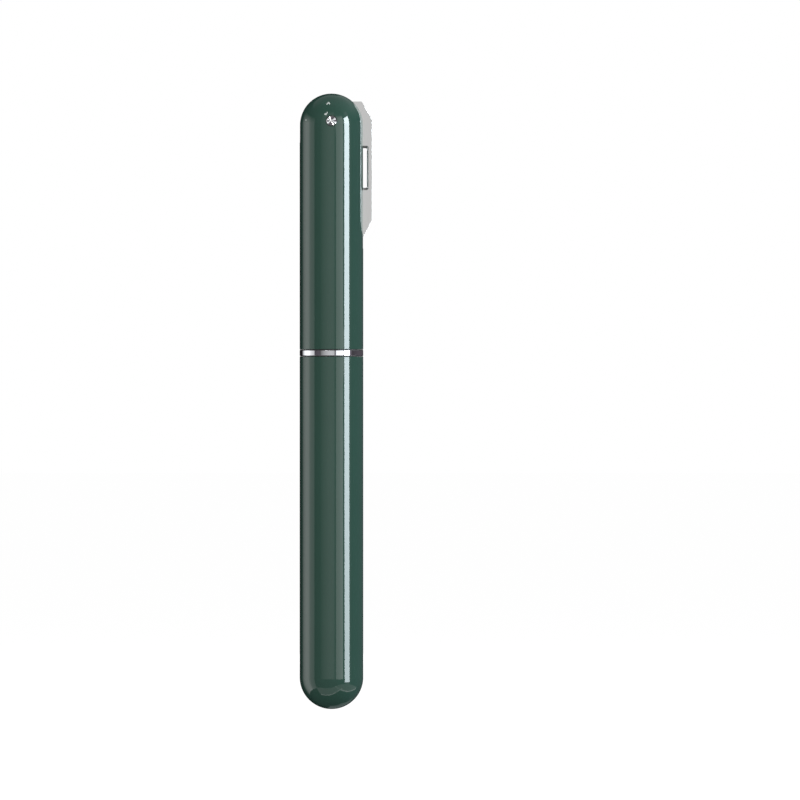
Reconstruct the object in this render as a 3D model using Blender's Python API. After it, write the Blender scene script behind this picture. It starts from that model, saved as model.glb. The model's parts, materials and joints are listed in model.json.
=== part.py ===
"""Air pump wine opener, closed: pump sleeve, plunger with its needle, and a cap that holds a foil blade.

Metres, +Z up along the body. The origin is the pole of the pump sleeve's round end, where the palm pushes.
The foil blade folds into the cap's +X side and swings out in the XZ plane.
"""

import math

import bmesh
import bpy

# Clearances
seat_gap = 0.0003
running_gap = 0.0003
cut_overrun = 0.001
weld_distance = 0.000001

# Facets
shell_sides = 40
bore_sides = 24
small_sides = 16
seal_section_sides = 8
dome_steps = 7
corner_steps = 6
slot_corner_steps = 3
hexagon_sides = 6
ball_subdivisions = 3
sharp_angle = 30

# Check valve in the piston
ball_radius = 0.0016
ball_clearance = 0.0004
inlet_radius = 0.0009
inlet_length = 0.0021
valve_wall = 0.0011
spring_wire_radius = 0.0002
spring_length = 0.0084
spring_turns = 6
spring_points_per_turn = 10
retainer_height = 0.0025
retainer_step = 0.0009
retainer_hole_radius = 0.0009

# Piston, from its foot up
neck_wall = 0.0024
nut_wall = 0.0019
nut_height = 0.0032
cup_web = 0.0014
cup_lip_thickness = 0.0007
cup_lip_length = 0.0024
cup_shoulder = 0.0005
piston_land = 0.004
tube_seal_section = 0.00055
tube_seal_land = 0.0013

# Walls, from the plunger tube out to the body
plunger_tube_wall = 0.001
gland_wall = 0.0018
cylinder_wall = 0.0008
shell_wall = 0.0017
mouth_chamfer = 0.0002

# End plug and bump washer
plug_depth = 0.005
plug_rim = 0.0012
plug_seal_section = 0.00075
plug_land = 0.00085
bump_thickness = 0.0013
bump_inset = 0.0003
bump_hole_radius = 0.003

# Stroke, and the gland at the sleeve's mouth
pump_stroke = 0.075
guide_length = 0.0139
gland_flange = 0.0018
wiper_width = 0.0012
wiper_height = 0.0012
wiper_lip = 0.0004
gland_nut_height = 0.0032
gland_nut_recess = 0.0003
spanner_hole_radius = 0.0007
spanner_hole_depth = 0.0015
spanner_holes = 2

# Trim ring and the plunger's head
ring_gap = 0.00035
ring_height = 0.0018
ring_width = 0.0012
ring_chamfer = 0.00015
head_spigot_length = 0.010
air_passage_radius = 0.0015
boss_height = 0.0084
boss_chamfer = 0.0004
grip_ring_section = 0.00075
grip_ring_rise = 0.004
grip_ring_stand = 0.0002

# Needle, its hub and its gasket
hub_radius = 0.0036
hub_height = 0.0055
hub_flange_radius = 0.005
hub_flange = 0.0012
gasket_thickness = 0.0008
gasket_hole_radius = 0.0009
needle_radius = 0.0011
needle_bore_radius = 0.0005
needle_point_length = 0.005
needle_point_radius = 0.00012
needle_port_radius = 0.0004
needle_port_drop = 0.0085
needle_tip_gap = 0.0015

# Cap
cap_length = 0.0886
liner_recess = 0.0005
liner_wall = 0.0011
liner_lead_in = 0.0004
needle_clearance = 0.0011
funnel_flare = 0.0015
funnel_height = 0.0025
bore_end_web = 0.0019
carrier_web = 0.0017
carrier_base = 0.0015

# Foil blade, in its own plane
pivot_drop = 0.0097
blade_thickness = 0.0015
blade_projection = 0.0031
blade_shoulder_height = 0.0068
upper_chamfer_width = 0.00365
upper_chamfer_height = 0.0063
spine_length = 0.0348
tip_drop = 0.0088
tip_inset = 0.0049
edge_run_in = 0.0022
edge_thickness = 0.0001
grind_width = 0.0018
belly_share = 0.7
edge_steps = 8
tang_steps = 14
nail_slot_inset = 0.00134
nail_slot_width = 0.00252
nail_slot_length = 0.0153
nail_slot_rise = 0.0105
nail_slot_corner = 0.0007
slot_side_gap = 0.00045
slot_end_gap = 0.0006

# Blade pivot
pin_radius = 0.0011
pin_head_radius = 0.00168
pin_head_height = 0.0008
pin_head_rim = 0.0001
pin_recess = 0.00015
pin_recess_gap = 0.00027
pin_bore_radius = 0.00075
screw_shank_length = 0.006
screw_slot_width = 0.0005
screw_slot_depth = 0.0003
washer_width = 0.0016
washer_thickness = 0.0005
tension_washer_dish = 0.0002
tension_washer_sheet = 0.0002

# Radii that follow from the valve outwards
chamber_radius = ball_radius + ball_clearance
seal_groove_radius = chamber_radius + valve_wall
tube_seal_radius = seal_groove_radius + seat_gap + tube_seal_section
tube_inner_radius = tube_seal_radius + tube_seal_section + seat_gap
spigot_radius = tube_inner_radius - seat_gap
tube_radius = tube_inner_radius + plunger_tube_wall
guide_bore_radius = tube_radius + running_gap
guide_radius = guide_bore_radius + gland_wall
cylinder_bore_radius = guide_radius + seat_gap
cylinder_radius = cylinder_bore_radius + cylinder_wall
shell_inner_radius = cylinder_radius + seat_gap
body_radius = shell_inner_radius + shell_wall

# Heights in the pump, from the pole up
lower_dome_z = body_radius
plug_base_z = lower_dome_z - plug_depth
plug_rim_z = lower_dome_z + plug_rim
cylinder_bottom_z = plug_rim_z + seat_gap
plug_seal_radius = cylinder_bore_radius - seat_gap - plug_seal_section
plug_groove_radius = plug_seal_radius - plug_seal_section - seat_gap
plug_groove_half = plug_seal_section + seat_gap
plug_seal_z = plug_rim_z + plug_land + plug_groove_half
plug_top_z = plug_seal_z + plug_groove_half + plug_land
bump_z = plug_top_z + seat_gap
piston_base_z = bump_z + bump_thickness + seat_gap
cup_z = piston_base_z + nut_height + seat_gap
piston_land_z = cup_z + cup_web + seat_gap
piston_top_z = piston_land_z + piston_land
tube_bottom_z = piston_top_z + seat_gap
guide_bottom_z = piston_top_z + pump_stroke + running_gap
gland_flange_z = guide_bottom_z + guide_length
cylinder_top_z = gland_flange_z - seat_gap
gland_top_z = gland_flange_z + gland_flange
gland_nut_z = gland_top_z + seat_gap
gland_nut_top_z = gland_nut_z + gland_nut_height
sleeve_mouth_z = gland_nut_top_z + gland_nut_recess

# Heights in the check valve
valve_seat_z = piston_base_z + inlet_length
valve_seat_top_z = valve_seat_z + chamber_radius - inlet_radius
ball_z = valve_seat_z - inlet_radius + (ball_radius + seat_gap) * math.sqrt(2)
spring_radius = chamber_radius - running_gap - spring_wire_radius
spring_reach = ball_radius + seat_gap + spring_wire_radius
spring_bottom_z = ball_z + math.sqrt(spring_reach**2 - spring_radius**2)
spring_top_z = spring_bottom_z + spring_length
retainer_z = spring_top_z + spring_wire_radius + seat_gap
retainer_radius = chamber_radius + retainer_step - seat_gap
piston_spigot_z = retainer_z + retainer_height + seat_gap

# Heights in the head and the needle
ring_bottom_z = sleeve_mouth_z + ring_gap
ring_top_z = ring_bottom_z + ring_height
ring_inner_radius = body_radius - ring_width
tube_top_z = ring_bottom_z - seat_gap
tube_groove_half = tube_seal_section + seat_gap
piston_seal_z = tube_bottom_z + tube_seal_land + tube_groove_half
head_seal_z = tube_top_z - tube_seal_land - tube_groove_half
head_spigot_z = ring_bottom_z - head_spigot_length
bottle_seat_z = ring_top_z + boss_height
grip_ring_z = ring_top_z + grip_ring_rise
liner_radius = shell_inner_radius - seat_gap
liner_bore_radius = liner_radius - liner_wall
grip_ring_radius = liner_bore_radius - seat_gap - grip_ring_section
grip_groove_radius = grip_ring_radius - grip_ring_section - seat_gap
grip_groove_half = grip_ring_section + seat_gap
boss_radius = grip_ring_radius + grip_ring_section - grip_ring_stand
hub_bottom_z = bottle_seat_z - hub_height
hub_flange_z = bottle_seat_z - hub_flange
gasket_z = hub_bottom_z - seat_gap - gasket_thickness
hub_pocket_z = gasket_z - seat_gap

# Heights in the cap
cap_mouth_z = ring_top_z + ring_gap
top_z = cap_mouth_z + cap_length
upper_dome_z = top_z - body_radius
pivot_z = top_z - pivot_drop
slot_floor = -(blade_shoulder_height + seat_gap)
needle_bore_top_z = pivot_z + slot_floor - bore_end_web
needle_tip_z = needle_bore_top_z - needle_tip_gap
carrier_bore_radius = needle_radius + needle_clearance
liner_z = cap_mouth_z + liner_recess

# The blade's outline, about the pivot
spine_x = body_radius + blade_projection
shoulder_x = spine_x - upper_chamfer_width
spine_top = blade_shoulder_height - upper_chamfer_height
spine_bottom = spine_top - spine_length
tip_x = spine_x - tip_inset
tip_y = spine_bottom - tip_drop
slot_inner_x = carrier_bore_radius + carrier_web
edge_x = slot_inner_x + slot_end_gap
edge_start = -(blade_shoulder_height + edge_run_in)
slot_bottom = tip_y - slot_end_gap
slot_half_width = blade_thickness / 2 + slot_side_gap
carrier_z = pivot_z + slot_bottom - carrier_base

# The pivot's stack, outwards from the blade's middle plane
pin_hole_radius = pin_radius + running_gap
washer_near = blade_thickness / 2 + running_gap
washer_far = washer_near + washer_thickness
front_pocket = washer_far + seat_gap
tension_near = washer_far + seat_gap
tension_far = tension_near + tension_washer_dish + tension_washer_sheet
back_pocket = tension_far + seat_gap
washer_radius = pin_hole_radius + washer_width
pocket_radius = washer_radius + seat_gap
pin_face = math.sqrt(body_radius**2 - max(pivot_z - upper_dome_z, 0) ** 2) - pin_recess
pin_head_seat = pin_face - pin_head_height
pin_ledge = pin_head_seat - seat_gap
pin_counterbore_radius = pin_head_radius + pin_recess_gap


def clear_scene():
    for old in list(bpy.data.objects):
        bpy.data.objects.remove(old)


def material(name, colour, roughness, metallic):
    made = bpy.data.materials.new(name)
    made.use_nodes = True
    shader = made.node_tree.nodes["Principled BSDF"]
    shader.inputs["Base Color"].default_value = (*colour, 1.0)
    shader.inputs["Roughness"].default_value = roughness
    shader.inputs["Metallic"].default_value = metallic
    made.diffuse_color = (*colour, 1.0)
    return made


def joint_frame(name, location=(0, 0, 0), rotation=(0, 0, 0)):
    """An empty on a joint's axis, which carries the pieces of one body."""
    frame = bpy.data.objects.new(name, None)
    frame.location = location
    frame.rotation_euler = rotation
    bpy.context.scene.collection.objects.link(frame)
    return frame


def placed(name, mesh, finish, parent):
    """Links a piece, smooth shaded with sharp corners kept, under its body's frame."""
    piece = bpy.data.objects.new(name, mesh)
    bpy.context.scene.collection.objects.link(piece)
    piece.parent = parent
    if finish:
        mesh.materials.append(finish)
        mesh.shade_smooth()
        mesh.set_sharp_from_angle(angle=math.radians(sharp_angle))
    else:
        piece.hide_render = True
        piece.display_type = "WIRE"
    return piece


def arc(centre, radius, start, end, steps):
    """Points on a circle from one angle to another, in degrees, both ends included."""
    angles = [math.radians(start + (end - start) * i / steps) for i in range(steps + 1)]
    return [(centre[0] + radius * math.cos(a), centre[1] + radius * math.sin(a)) for a in angles]


def finished_mesh(name, bm):
    bmesh.ops.remove_doubles(bm, verts=bm.verts[:], dist=weld_distance)
    bmesh.ops.recalc_face_normals(bm, faces=bm.faces[:])
    mesh = bpy.data.meshes.new(name)
    bm.to_mesh(mesh)
    bm.free()
    return mesh


def turned(name, profile, sides, finish, parent):
    """A lathe-turned piece: (radius, height) points spun about +Z, a closed loop if it is off the axis."""
    bm = bmesh.new()
    points = [bm.verts.new((radius, 0, height)) for radius, height in profile]
    pairs = list(zip(points, points[1:]))
    if profile[0][0] > 0:
        pairs.append((points[-1], points[0]))
    edges = [bm.edges.new(pair) for pair in pairs]
    bmesh.ops.spin(
        bm,
        geom=points + edges,
        cent=(0, 0, 0),
        axis=(0, 0, 1),
        angle=math.tau,
        steps=sides,
        use_merge=True,
    )
    return placed(name, finished_mesh(name, bm), finish, parent)


def washer(name, inner, outer, bottom, top, sides, finish, parent):
    profile = [(inner, bottom), (outer, bottom), (outer, top), (inner, top)]
    return turned(name, profile, sides, finish, parent)


def seal_ring(name, radius, section, height, finish, parent):
    """An O-ring: a round section spun at its own radius."""
    section_points = arc((radius, height), section, 0, 360, seal_section_sides)[:-1]
    return turned(name, section_points, bore_sides, finish, parent)


def prism(name, outline, bottom, top, finish, parent):
    """An outline in the XY plane, extruded along Z."""
    bm = bmesh.new()
    face = bm.faces.new([bm.verts.new((x, y, bottom)) for x, y in outline])
    grown = bmesh.ops.extrude_face_region(bm, geom=[face])
    lifted = [item for item in grown["geom"] if isinstance(item, bmesh.types.BMVert)]
    bmesh.ops.translate(bm, verts=lifted, vec=(0, 0, top - bottom))
    return placed(name, finished_mesh(name, bm), finish, parent)


def cut(piece, cutter):
    modifier = piece.modifiers.new(cutter.name, "BOOLEAN")
    modifier.operation = "DIFFERENCE"
    modifier.solver = "EXACT"
    modifier.object = cutter


def grooved(radius, groove_radius, centre, half):
    """The four profile points of a square groove, from below to above."""
    return [
        (radius, centre - half),
        (groove_radius, centre - half),
        (groove_radius, centre + half),
        (radius, centre + half),
    ]


def pump_sleeve(finish, parent):
    outer = arc((0, lower_dome_z), body_radius, -90, 0, dome_steps)
    inner = arc((0, lower_dome_z), shell_inner_radius, 0, -90, dome_steps)
    mouth = [
        (body_radius, sleeve_mouth_z - mouth_chamfer),
        (body_radius - mouth_chamfer, sleeve_mouth_z),
        (shell_inner_radius, sleeve_mouth_z),
    ]
    turned("pump_sleeve", outer + mouth + inner, shell_sides, finish, parent)


def end_plug(finish, parent):
    """Closes the cylinder's foot. Its underside follows the sleeve's round end."""
    dome = shell_inner_radius - seat_gap
    start = -math.degrees(math.asin(plug_depth / dome))
    underside = arc((0, lower_dome_z), dome, start, 0, corner_steps)
    spigot = [(guide_radius, plug_rim_z)]
    spigot += grooved(guide_radius, plug_groove_radius, plug_seal_z, plug_groove_half)
    profile = [(0, plug_base_z), *underside, (dome, plug_rim_z), *spigot]
    profile += [(guide_radius, plug_top_z), (0, plug_top_z)]
    turned("end_plug", profile, bore_sides, finish, parent)


def end_plug_oring(finish, parent):
    seal_ring("end_plug_oring", plug_seal_radius, plug_seal_section, plug_seal_z, finish, parent)


def bump_washer(finish, parent):
    outer = guide_radius - bump_inset
    top = bump_z + bump_thickness
    washer("bump_washer", bump_hole_radius, outer, bump_z, top, bore_sides, finish, parent)


def cylinder_tube(finish, parent):
    washer(
        "cylinder_tube",
        cylinder_bore_radius,
        cylinder_radius,
        cylinder_bottom_z,
        cylinder_top_z,
        bore_sides,
        finish,
        parent,
    )


def gland_bush(finish, parent):
    """Guides the plunger tube, stops the piston at full stroke and holds the wiper."""
    wiper_pocket = guide_bore_radius + wiper_width + seat_gap
    pocket_floor = gland_top_z - wiper_height - seat_gap
    profile = [
        (guide_bore_radius, guide_bottom_z),
        (guide_radius, guide_bottom_z),
        (guide_radius, gland_flange_z),
        (cylinder_radius, gland_flange_z),
        (cylinder_radius, gland_top_z),
        (wiper_pocket, gland_top_z),
        (wiper_pocket, pocket_floor),
        (guide_bore_radius, pocket_floor),
    ]
    turned("gland_bush", profile, bore_sides, finish, parent)


def gland_wiper(finish, parent):
    """A rubber ring with a lip that wipes the plunger tube."""
    outer = guide_bore_radius + wiper_width
    bottom = gland_top_z - wiper_height
    profile = [
        (guide_bore_radius + wiper_lip, bottom),
        (outer, bottom),
        (outer, gland_top_z),
        (guide_bore_radius, gland_top_z),
        (guide_bore_radius, gland_top_z - wiper_lip),
    ]
    turned("gland_wiper", profile, bore_sides, finish, parent)


def gland_nut(finish, parent):
    """Screws into the sleeve's mouth over the gland. Its spanner holes also let air in."""
    nut = turned(
        "gland_nut",
        [
            (guide_bore_radius, gland_nut_z),
            (cylinder_radius, gland_nut_z),
            (cylinder_radius, gland_nut_top_z),
            (guide_bore_radius, gland_nut_top_z),
        ],
        bore_sides,
        finish,
        parent,
    )
    middle = (guide_bore_radius + cylinder_radius) / 2
    centres = arc((0, 0), middle, 0, 360, spanner_holes)[:-1]
    for i, centre in enumerate(centres):
        outline = arc(centre, spanner_hole_radius, 0, 360, small_sides)[:-1]
        floor = gland_nut_top_z - spanner_hole_depth
        top = gland_nut_top_z + cut_overrun
        cut(nut, prism(f"spanner_hole_{i + 1}", outline, floor, top, None, parent))


def piston_body(finish, parent):
    """Neck for the cup seal, land, and spigot in the tube. The check valve's chamber runs up its middle."""
    neck_radius = chamber_radius + neck_wall
    chamber_top_z = retainer_z - seat_gap
    outside = [
        (neck_radius, piston_base_z),
        (neck_radius, piston_land_z),
        (guide_radius, piston_land_z),
        (guide_radius, piston_top_z),
        (spigot_radius, piston_top_z),
    ]
    outside += grooved(spigot_radius, seal_groove_radius, piston_seal_z, tube_groove_half)
    inside = [
        (spigot_radius, piston_spigot_z),
        (chamber_radius + retainer_step, piston_spigot_z),
        (chamber_radius + retainer_step, chamber_top_z),
        (chamber_radius, chamber_top_z),
        (chamber_radius, valve_seat_top_z),
        (inlet_radius, valve_seat_z),
        (inlet_radius, piston_base_z),
    ]
    turned("piston_body", outside + inside, bore_sides, finish, parent)


def piston_cup(finish, parent):
    """The cup seal: its lip faces the end plug, so it seals on the pushing stroke."""
    inner = chamber_radius + neck_wall + seat_gap
    lip_inner = guide_radius - cup_lip_thickness
    profile = [
        (inner, cup_z),
        (lip_inner - cup_shoulder, cup_z),
        (lip_inner, cup_z - cup_shoulder),
        (lip_inner, cup_z - cup_lip_length),
        (guide_radius, cup_z - cup_lip_length),
        (guide_radius, cup_z + cup_web - cup_shoulder),
        (guide_radius - cup_shoulder, cup_z + cup_web),
        (inner, cup_z + cup_web),
    ]
    turned("piston_cup", profile, bore_sides, finish, parent)


def piston_nut(finish, parent):
    """A hexagon nut on the piston's neck, which clamps the cup."""
    bore = chamber_radius + neck_wall + seat_gap
    top = piston_base_z + nut_height
    outline = arc((0, 0), bore + nut_wall, 0, 360, hexagon_sides)[:-1]
    nut = prism("piston_nut", outline, piston_base_z, top, finish, parent)
    hole = arc((0, 0), bore, 0, 360, bore_sides)[:-1]
    low = piston_base_z - cut_overrun
    cut(nut, prism("piston_nut_bore", hole, low, top + cut_overrun, None, parent))


def piston_oring(finish, parent):
    seal_ring("piston_oring", tube_seal_radius, tube_seal_section, piston_seal_z, finish, parent)


def valve_retainer(finish, parent):
    """A threaded plug with a hole, which holds the spring down on the ball."""
    washer(
        "valve_retainer",
        retainer_hole_radius,
        retainer_radius,
        retainer_z,
        retainer_z + retainer_height,
        small_sides,
        finish,
        parent,
    )


def valve_spring(finish, parent):
    """A compression spring: one wire in an even helix. Prints its least gap between turns."""
    count = spring_turns * spring_points_per_turn
    points = []
    for i in range(count + 1):
        angle = math.tau * i / spring_points_per_turn
        height = spring_bottom_z + spring_length * i / count
        points.append((spring_radius * math.cos(angle), spring_radius * math.sin(angle), height))
    curve = bpy.data.curves.new("valve_spring", "CURVE")
    curve.dimensions = "3D"
    curve.bevel_depth = spring_wire_radius
    curve.bevel_resolution = 1
    curve.use_fill_caps = True
    spline = curve.splines.new("POLY")
    spline.points.add(count)
    for point, place in zip(spline.points, points):
        point.co = (*place, 1)
    curve.materials.append(finish)
    spring = bpy.data.objects.new("valve_spring", curve)
    bpy.context.scene.collection.objects.link(spring)
    spring.parent = parent
    half_turn = spring_points_per_turn // 2
    least = min(
        math.dist(points[i], points[j])
        for i in range(count + 1)
        for j in range(i + half_turn + 1, count + 1)
    )
    print(f"valve_spring: least gap between turns {(least - 2 * spring_wire_radius) * 1000:.2f} mm")


def check_ball(finish, parent):
    bm = bmesh.new()
    bmesh.ops.create_icosphere(bm, subdivisions=ball_subdivisions, radius=ball_radius)
    placed("check_ball", finished_mesh("check_ball", bm), finish, parent)


def plunger_tube(finish, parent):
    washer(
        "plunger_tube",
        tube_inner_radius,
        tube_radius,
        tube_bottom_z,
        tube_top_z,
        bore_sides,
        finish,
        parent,
    )


def head_body(finish, parent):
    """Spigot in the tube, flange in the trim ring, and the boss whose top is the bottle's seat."""
    flange_radius = ring_inner_radius - seat_gap
    pocket = hub_radius + seat_gap
    counterbore = hub_flange_radius + seat_gap
    counterbore_z = hub_flange_z - seat_gap
    profile = [(air_passage_radius, head_spigot_z), (spigot_radius, head_spigot_z)]
    profile += grooved(spigot_radius, seal_groove_radius, head_seal_z, tube_groove_half)
    profile += [
        (spigot_radius, ring_bottom_z),
        (flange_radius, ring_bottom_z),
        (flange_radius, ring_top_z),
        (boss_radius, ring_top_z),
    ]
    profile += grooved(boss_radius, grip_groove_radius, grip_ring_z, grip_groove_half)
    profile += [
        (boss_radius, bottle_seat_z - boss_chamfer),
        (boss_radius - boss_chamfer, bottle_seat_z),
        (counterbore, bottle_seat_z),
        (counterbore, counterbore_z),
        (pocket, counterbore_z),
        (pocket, hub_pocket_z),
        (air_passage_radius, hub_pocket_z),
    ]
    turned("head_body", profile, bore_sides, finish, parent)


def trim_ring(finish, parent):
    profile = [
        (ring_inner_radius, ring_bottom_z),
        (body_radius - ring_chamfer, ring_bottom_z),
        (body_radius, ring_bottom_z + ring_chamfer),
        (body_radius, ring_top_z - ring_chamfer),
        (body_radius - ring_chamfer, ring_top_z),
        (ring_inner_radius, ring_top_z),
    ]
    turned("trim_ring", profile, shell_sides, finish, parent)


def head_oring(finish, parent):
    seal_ring("head_oring", tube_seal_radius, tube_seal_section, head_seal_z, finish, parent)


def cap_grip_ring(finish, parent):
    """The ring on the boss that holds the cap by friction."""
    seal_ring("cap_grip_ring", grip_ring_radius, grip_ring_section, grip_ring_z, finish, parent)


def needle_hub(finish, parent):
    """The needle's screw-in foot: a hexagon flange, flush with the bottle's seat, on a round body."""
    outline = arc((0, 0), hub_flange_radius, 0, 360, hexagon_sides)[:-1]
    hub = prism("needle_hub", outline, hub_flange_z, bottle_seat_z, finish, parent)
    overlap = hub_flange / 2
    body_outline = arc((0, 0), hub_radius, 0, 360, bore_sides)[:-1]
    body = prism("needle_hub_body", body_outline, hub_bottom_z, hub_flange_z + overlap, None, parent)
    join = hub.modifiers.new("body", "BOOLEAN")
    join.operation = "UNION"
    join.solver = "EXACT"
    join.object = body
    bore = arc((0, 0), needle_radius + seat_gap, 0, 360, small_sides)[:-1]
    low = hub_bottom_z - cut_overrun
    top = bottle_seat_z + cut_overrun
    cut(hub, prism("needle_hub_bore", bore, low, top, None, parent))


def hub_gasket(finish, parent):
    top = gasket_z + gasket_thickness
    washer("hub_gasket", gasket_hole_radius, hub_radius, gasket_z, top, small_sides, finish, parent)


def needle(finish, parent):
    """A hollow needle with a closed point and a port in its side."""
    port_z = needle_tip_z - needle_port_drop
    bore_top = port_z + needle_port_radius + needle_bore_radius
    profile = [
        (0, needle_tip_z),
        (needle_point_radius, needle_tip_z - needle_point_radius),
        (needle_radius, needle_tip_z - needle_point_length),
        (needle_radius, hub_bottom_z),
        (needle_bore_radius, hub_bottom_z),
        (needle_bore_radius, bore_top - needle_bore_radius),
        (0, bore_top),
    ]
    shaft = turned("needle", profile, small_sides, finish, parent)
    outline = arc((0, port_z), needle_port_radius, 0, 360, small_sides)[:-1]
    drill = prism("needle_port", outline, 0, needle_radius + cut_overrun, None, parent)
    drill.rotation_euler = (math.radians(90), 0, 0)
    cut(shaft, drill)


def blade_slot_cutter(name, parent):
    """The slot that the blade folds into. Its floor on the -X side stops the open blade."""
    reach = spine_x + cut_overrun
    outline = [
        (slot_inner_x, slot_bottom),
        (reach, slot_bottom),
        (reach, reach),
        (-reach, reach),
        (-reach, slot_floor),
        (slot_inner_x, slot_floor),
    ]
    return prism(name, outline, -slot_half_width, slot_half_width, None, parent)


def cap_shell(finish, parent, pivot):
    outer = arc((0, upper_dome_z), body_radius, 90, 0, dome_steps)
    inner = arc((0, upper_dome_z), shell_inner_radius, 0, 90, dome_steps)
    mouth = [
        (body_radius, cap_mouth_z + mouth_chamfer),
        (body_radius - mouth_chamfer, cap_mouth_z),
        (shell_inner_radius, cap_mouth_z),
    ]
    shell = turned("cap_shell", outer + mouth + inner, shell_sides, finish, parent)
    cut(shell, blade_slot_cutter("shell_slot_cutter", pivot))
    out = body_radius + cut_overrun
    hole = [
        (0, -out),
        (pin_counterbore_radius, -out),
        (pin_counterbore_radius, -pin_ledge),
        (pin_hole_radius, -pin_ledge),
        (pin_hole_radius, pin_ledge),
        (pin_counterbore_radius, pin_ledge),
        (pin_counterbore_radius, out),
        (0, out),
    ]
    cut(shell, turned("shell_pin_hole", hole, small_sides, None, pivot))


def cap_liner(finish, parent):
    """A sleeve that slides over the boss and carries the blade carrier on its top edge."""
    top = carrier_z - seat_gap
    profile = [
        (liner_bore_radius + liner_lead_in, liner_z),
        (liner_radius, liner_z),
        (liner_radius, top),
        (liner_bore_radius, top),
        (liner_bore_radius, liner_z + liner_lead_in),
    ]
    turned("cap_liner", profile, bore_sides, finish, parent)


def blade_carrier(finish, parent, pivot):
    """The block in the cap that holds the blade's pivot and shields the needle's point."""
    funnel = carrier_bore_radius + funnel_flare
    dome = arc((0, upper_dome_z), liner_radius, 0, 90, dome_steps)
    profile = [
        (0, needle_bore_top_z),
        (carrier_bore_radius, needle_bore_top_z),
        (carrier_bore_radius, carrier_z + funnel_height),
        (funnel, carrier_z),
        (liner_radius, carrier_z),
        *dome,
    ]
    block = turned("blade_carrier", profile, bore_sides, finish, parent)
    cut(block, blade_slot_cutter("carrier_slot_cutter", pivot))
    out = body_radius + cut_overrun
    hole = [
        (0, -out),
        (pin_hole_radius, -out),
        (pin_hole_radius, -back_pocket),
        (pocket_radius, -back_pocket),
        (pocket_radius, front_pocket),
        (pin_hole_radius, front_pocket),
        (pin_hole_radius, out),
        (0, out),
    ]
    cut(block, turned("carrier_pin_hole", hole, small_sides, None, pivot))


def pivot_pin(finish, pivot):
    """The pin's turned head shows at the front. Its barrel takes the screw from the back."""
    blind = pin_ledge - screw_shank_length
    profile = [
        (0, pin_face),
        (pin_head_radius - pin_head_rim, pin_face),
        (pin_head_radius, pin_face - pin_head_rim),
        (pin_head_radius, pin_head_seat),
        (pin_radius, pin_head_seat),
        (pin_radius, -pin_ledge),
        (pin_bore_radius, -pin_ledge),
        (pin_bore_radius, -blind),
        (0, -blind),
    ]
    turned("pivot_pin", profile, small_sides, finish, pivot)


def pivot_screw(finish, pivot):
    """A slotted screw in the pin's barrel, at the back of the cap."""
    shank = pin_bore_radius - seat_gap
    profile = [
        (0, -pin_face),
        (pin_head_radius - pin_head_rim, -pin_face),
        (pin_head_radius, -pin_face + pin_head_rim),
        (pin_head_radius, -pin_head_seat),
        (shank, -pin_head_seat),
        (shank, -pin_head_seat + screw_shank_length),
        (0, -pin_head_seat + screw_shank_length),
    ]
    screw = turned("pivot_screw", profile, small_sides, finish, pivot)
    half = screw_slot_width / 2
    reach = pin_head_radius + cut_overrun
    outline = [(-reach, -half), (reach, -half), (reach, half), (-reach, half)]
    floor = -pin_face + screw_slot_depth
    cut(screw, prism("screw_slot", outline, -pin_face - cut_overrun, floor, None, pivot))


def thrust_washers(finish, pivot):
    for name, bottom, top in (
        ("thrust_washer_front", washer_near, washer_far),
        ("thrust_washer_back", -washer_far, -washer_near),
    ):
        washer(name, pin_hole_radius, washer_radius, bottom, top, small_sides, finish, pivot)


def tension_washer(finish, pivot):
    """A dished spring washer behind the back thrust washer, which gives the blade its friction."""
    profile = [
        (pin_hole_radius, -tension_near),
        (washer_radius, -tension_near - tension_washer_dish),
        (washer_radius, -tension_far),
        (pin_hole_radius, -tension_near - tension_washer_sheet),
    ]
    turned("tension_washer", profile, small_sides, finish, pivot)


def belly(t, inset, end):
    """A point on the cutting edge's curve, or on the grind line that lies inset from it."""
    start = (edge_x + inset, edge_start)
    control = (edge_x + inset, edge_start + (tip_y - edge_start) * belly_share)
    weights = ((1 - t) ** 2, 2 * t * (1 - t), t**2)
    return tuple(
        weights[0] * start[k] + weights[1] * control[k] + weights[2] * end[k] for k in range(2)
    )


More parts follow.
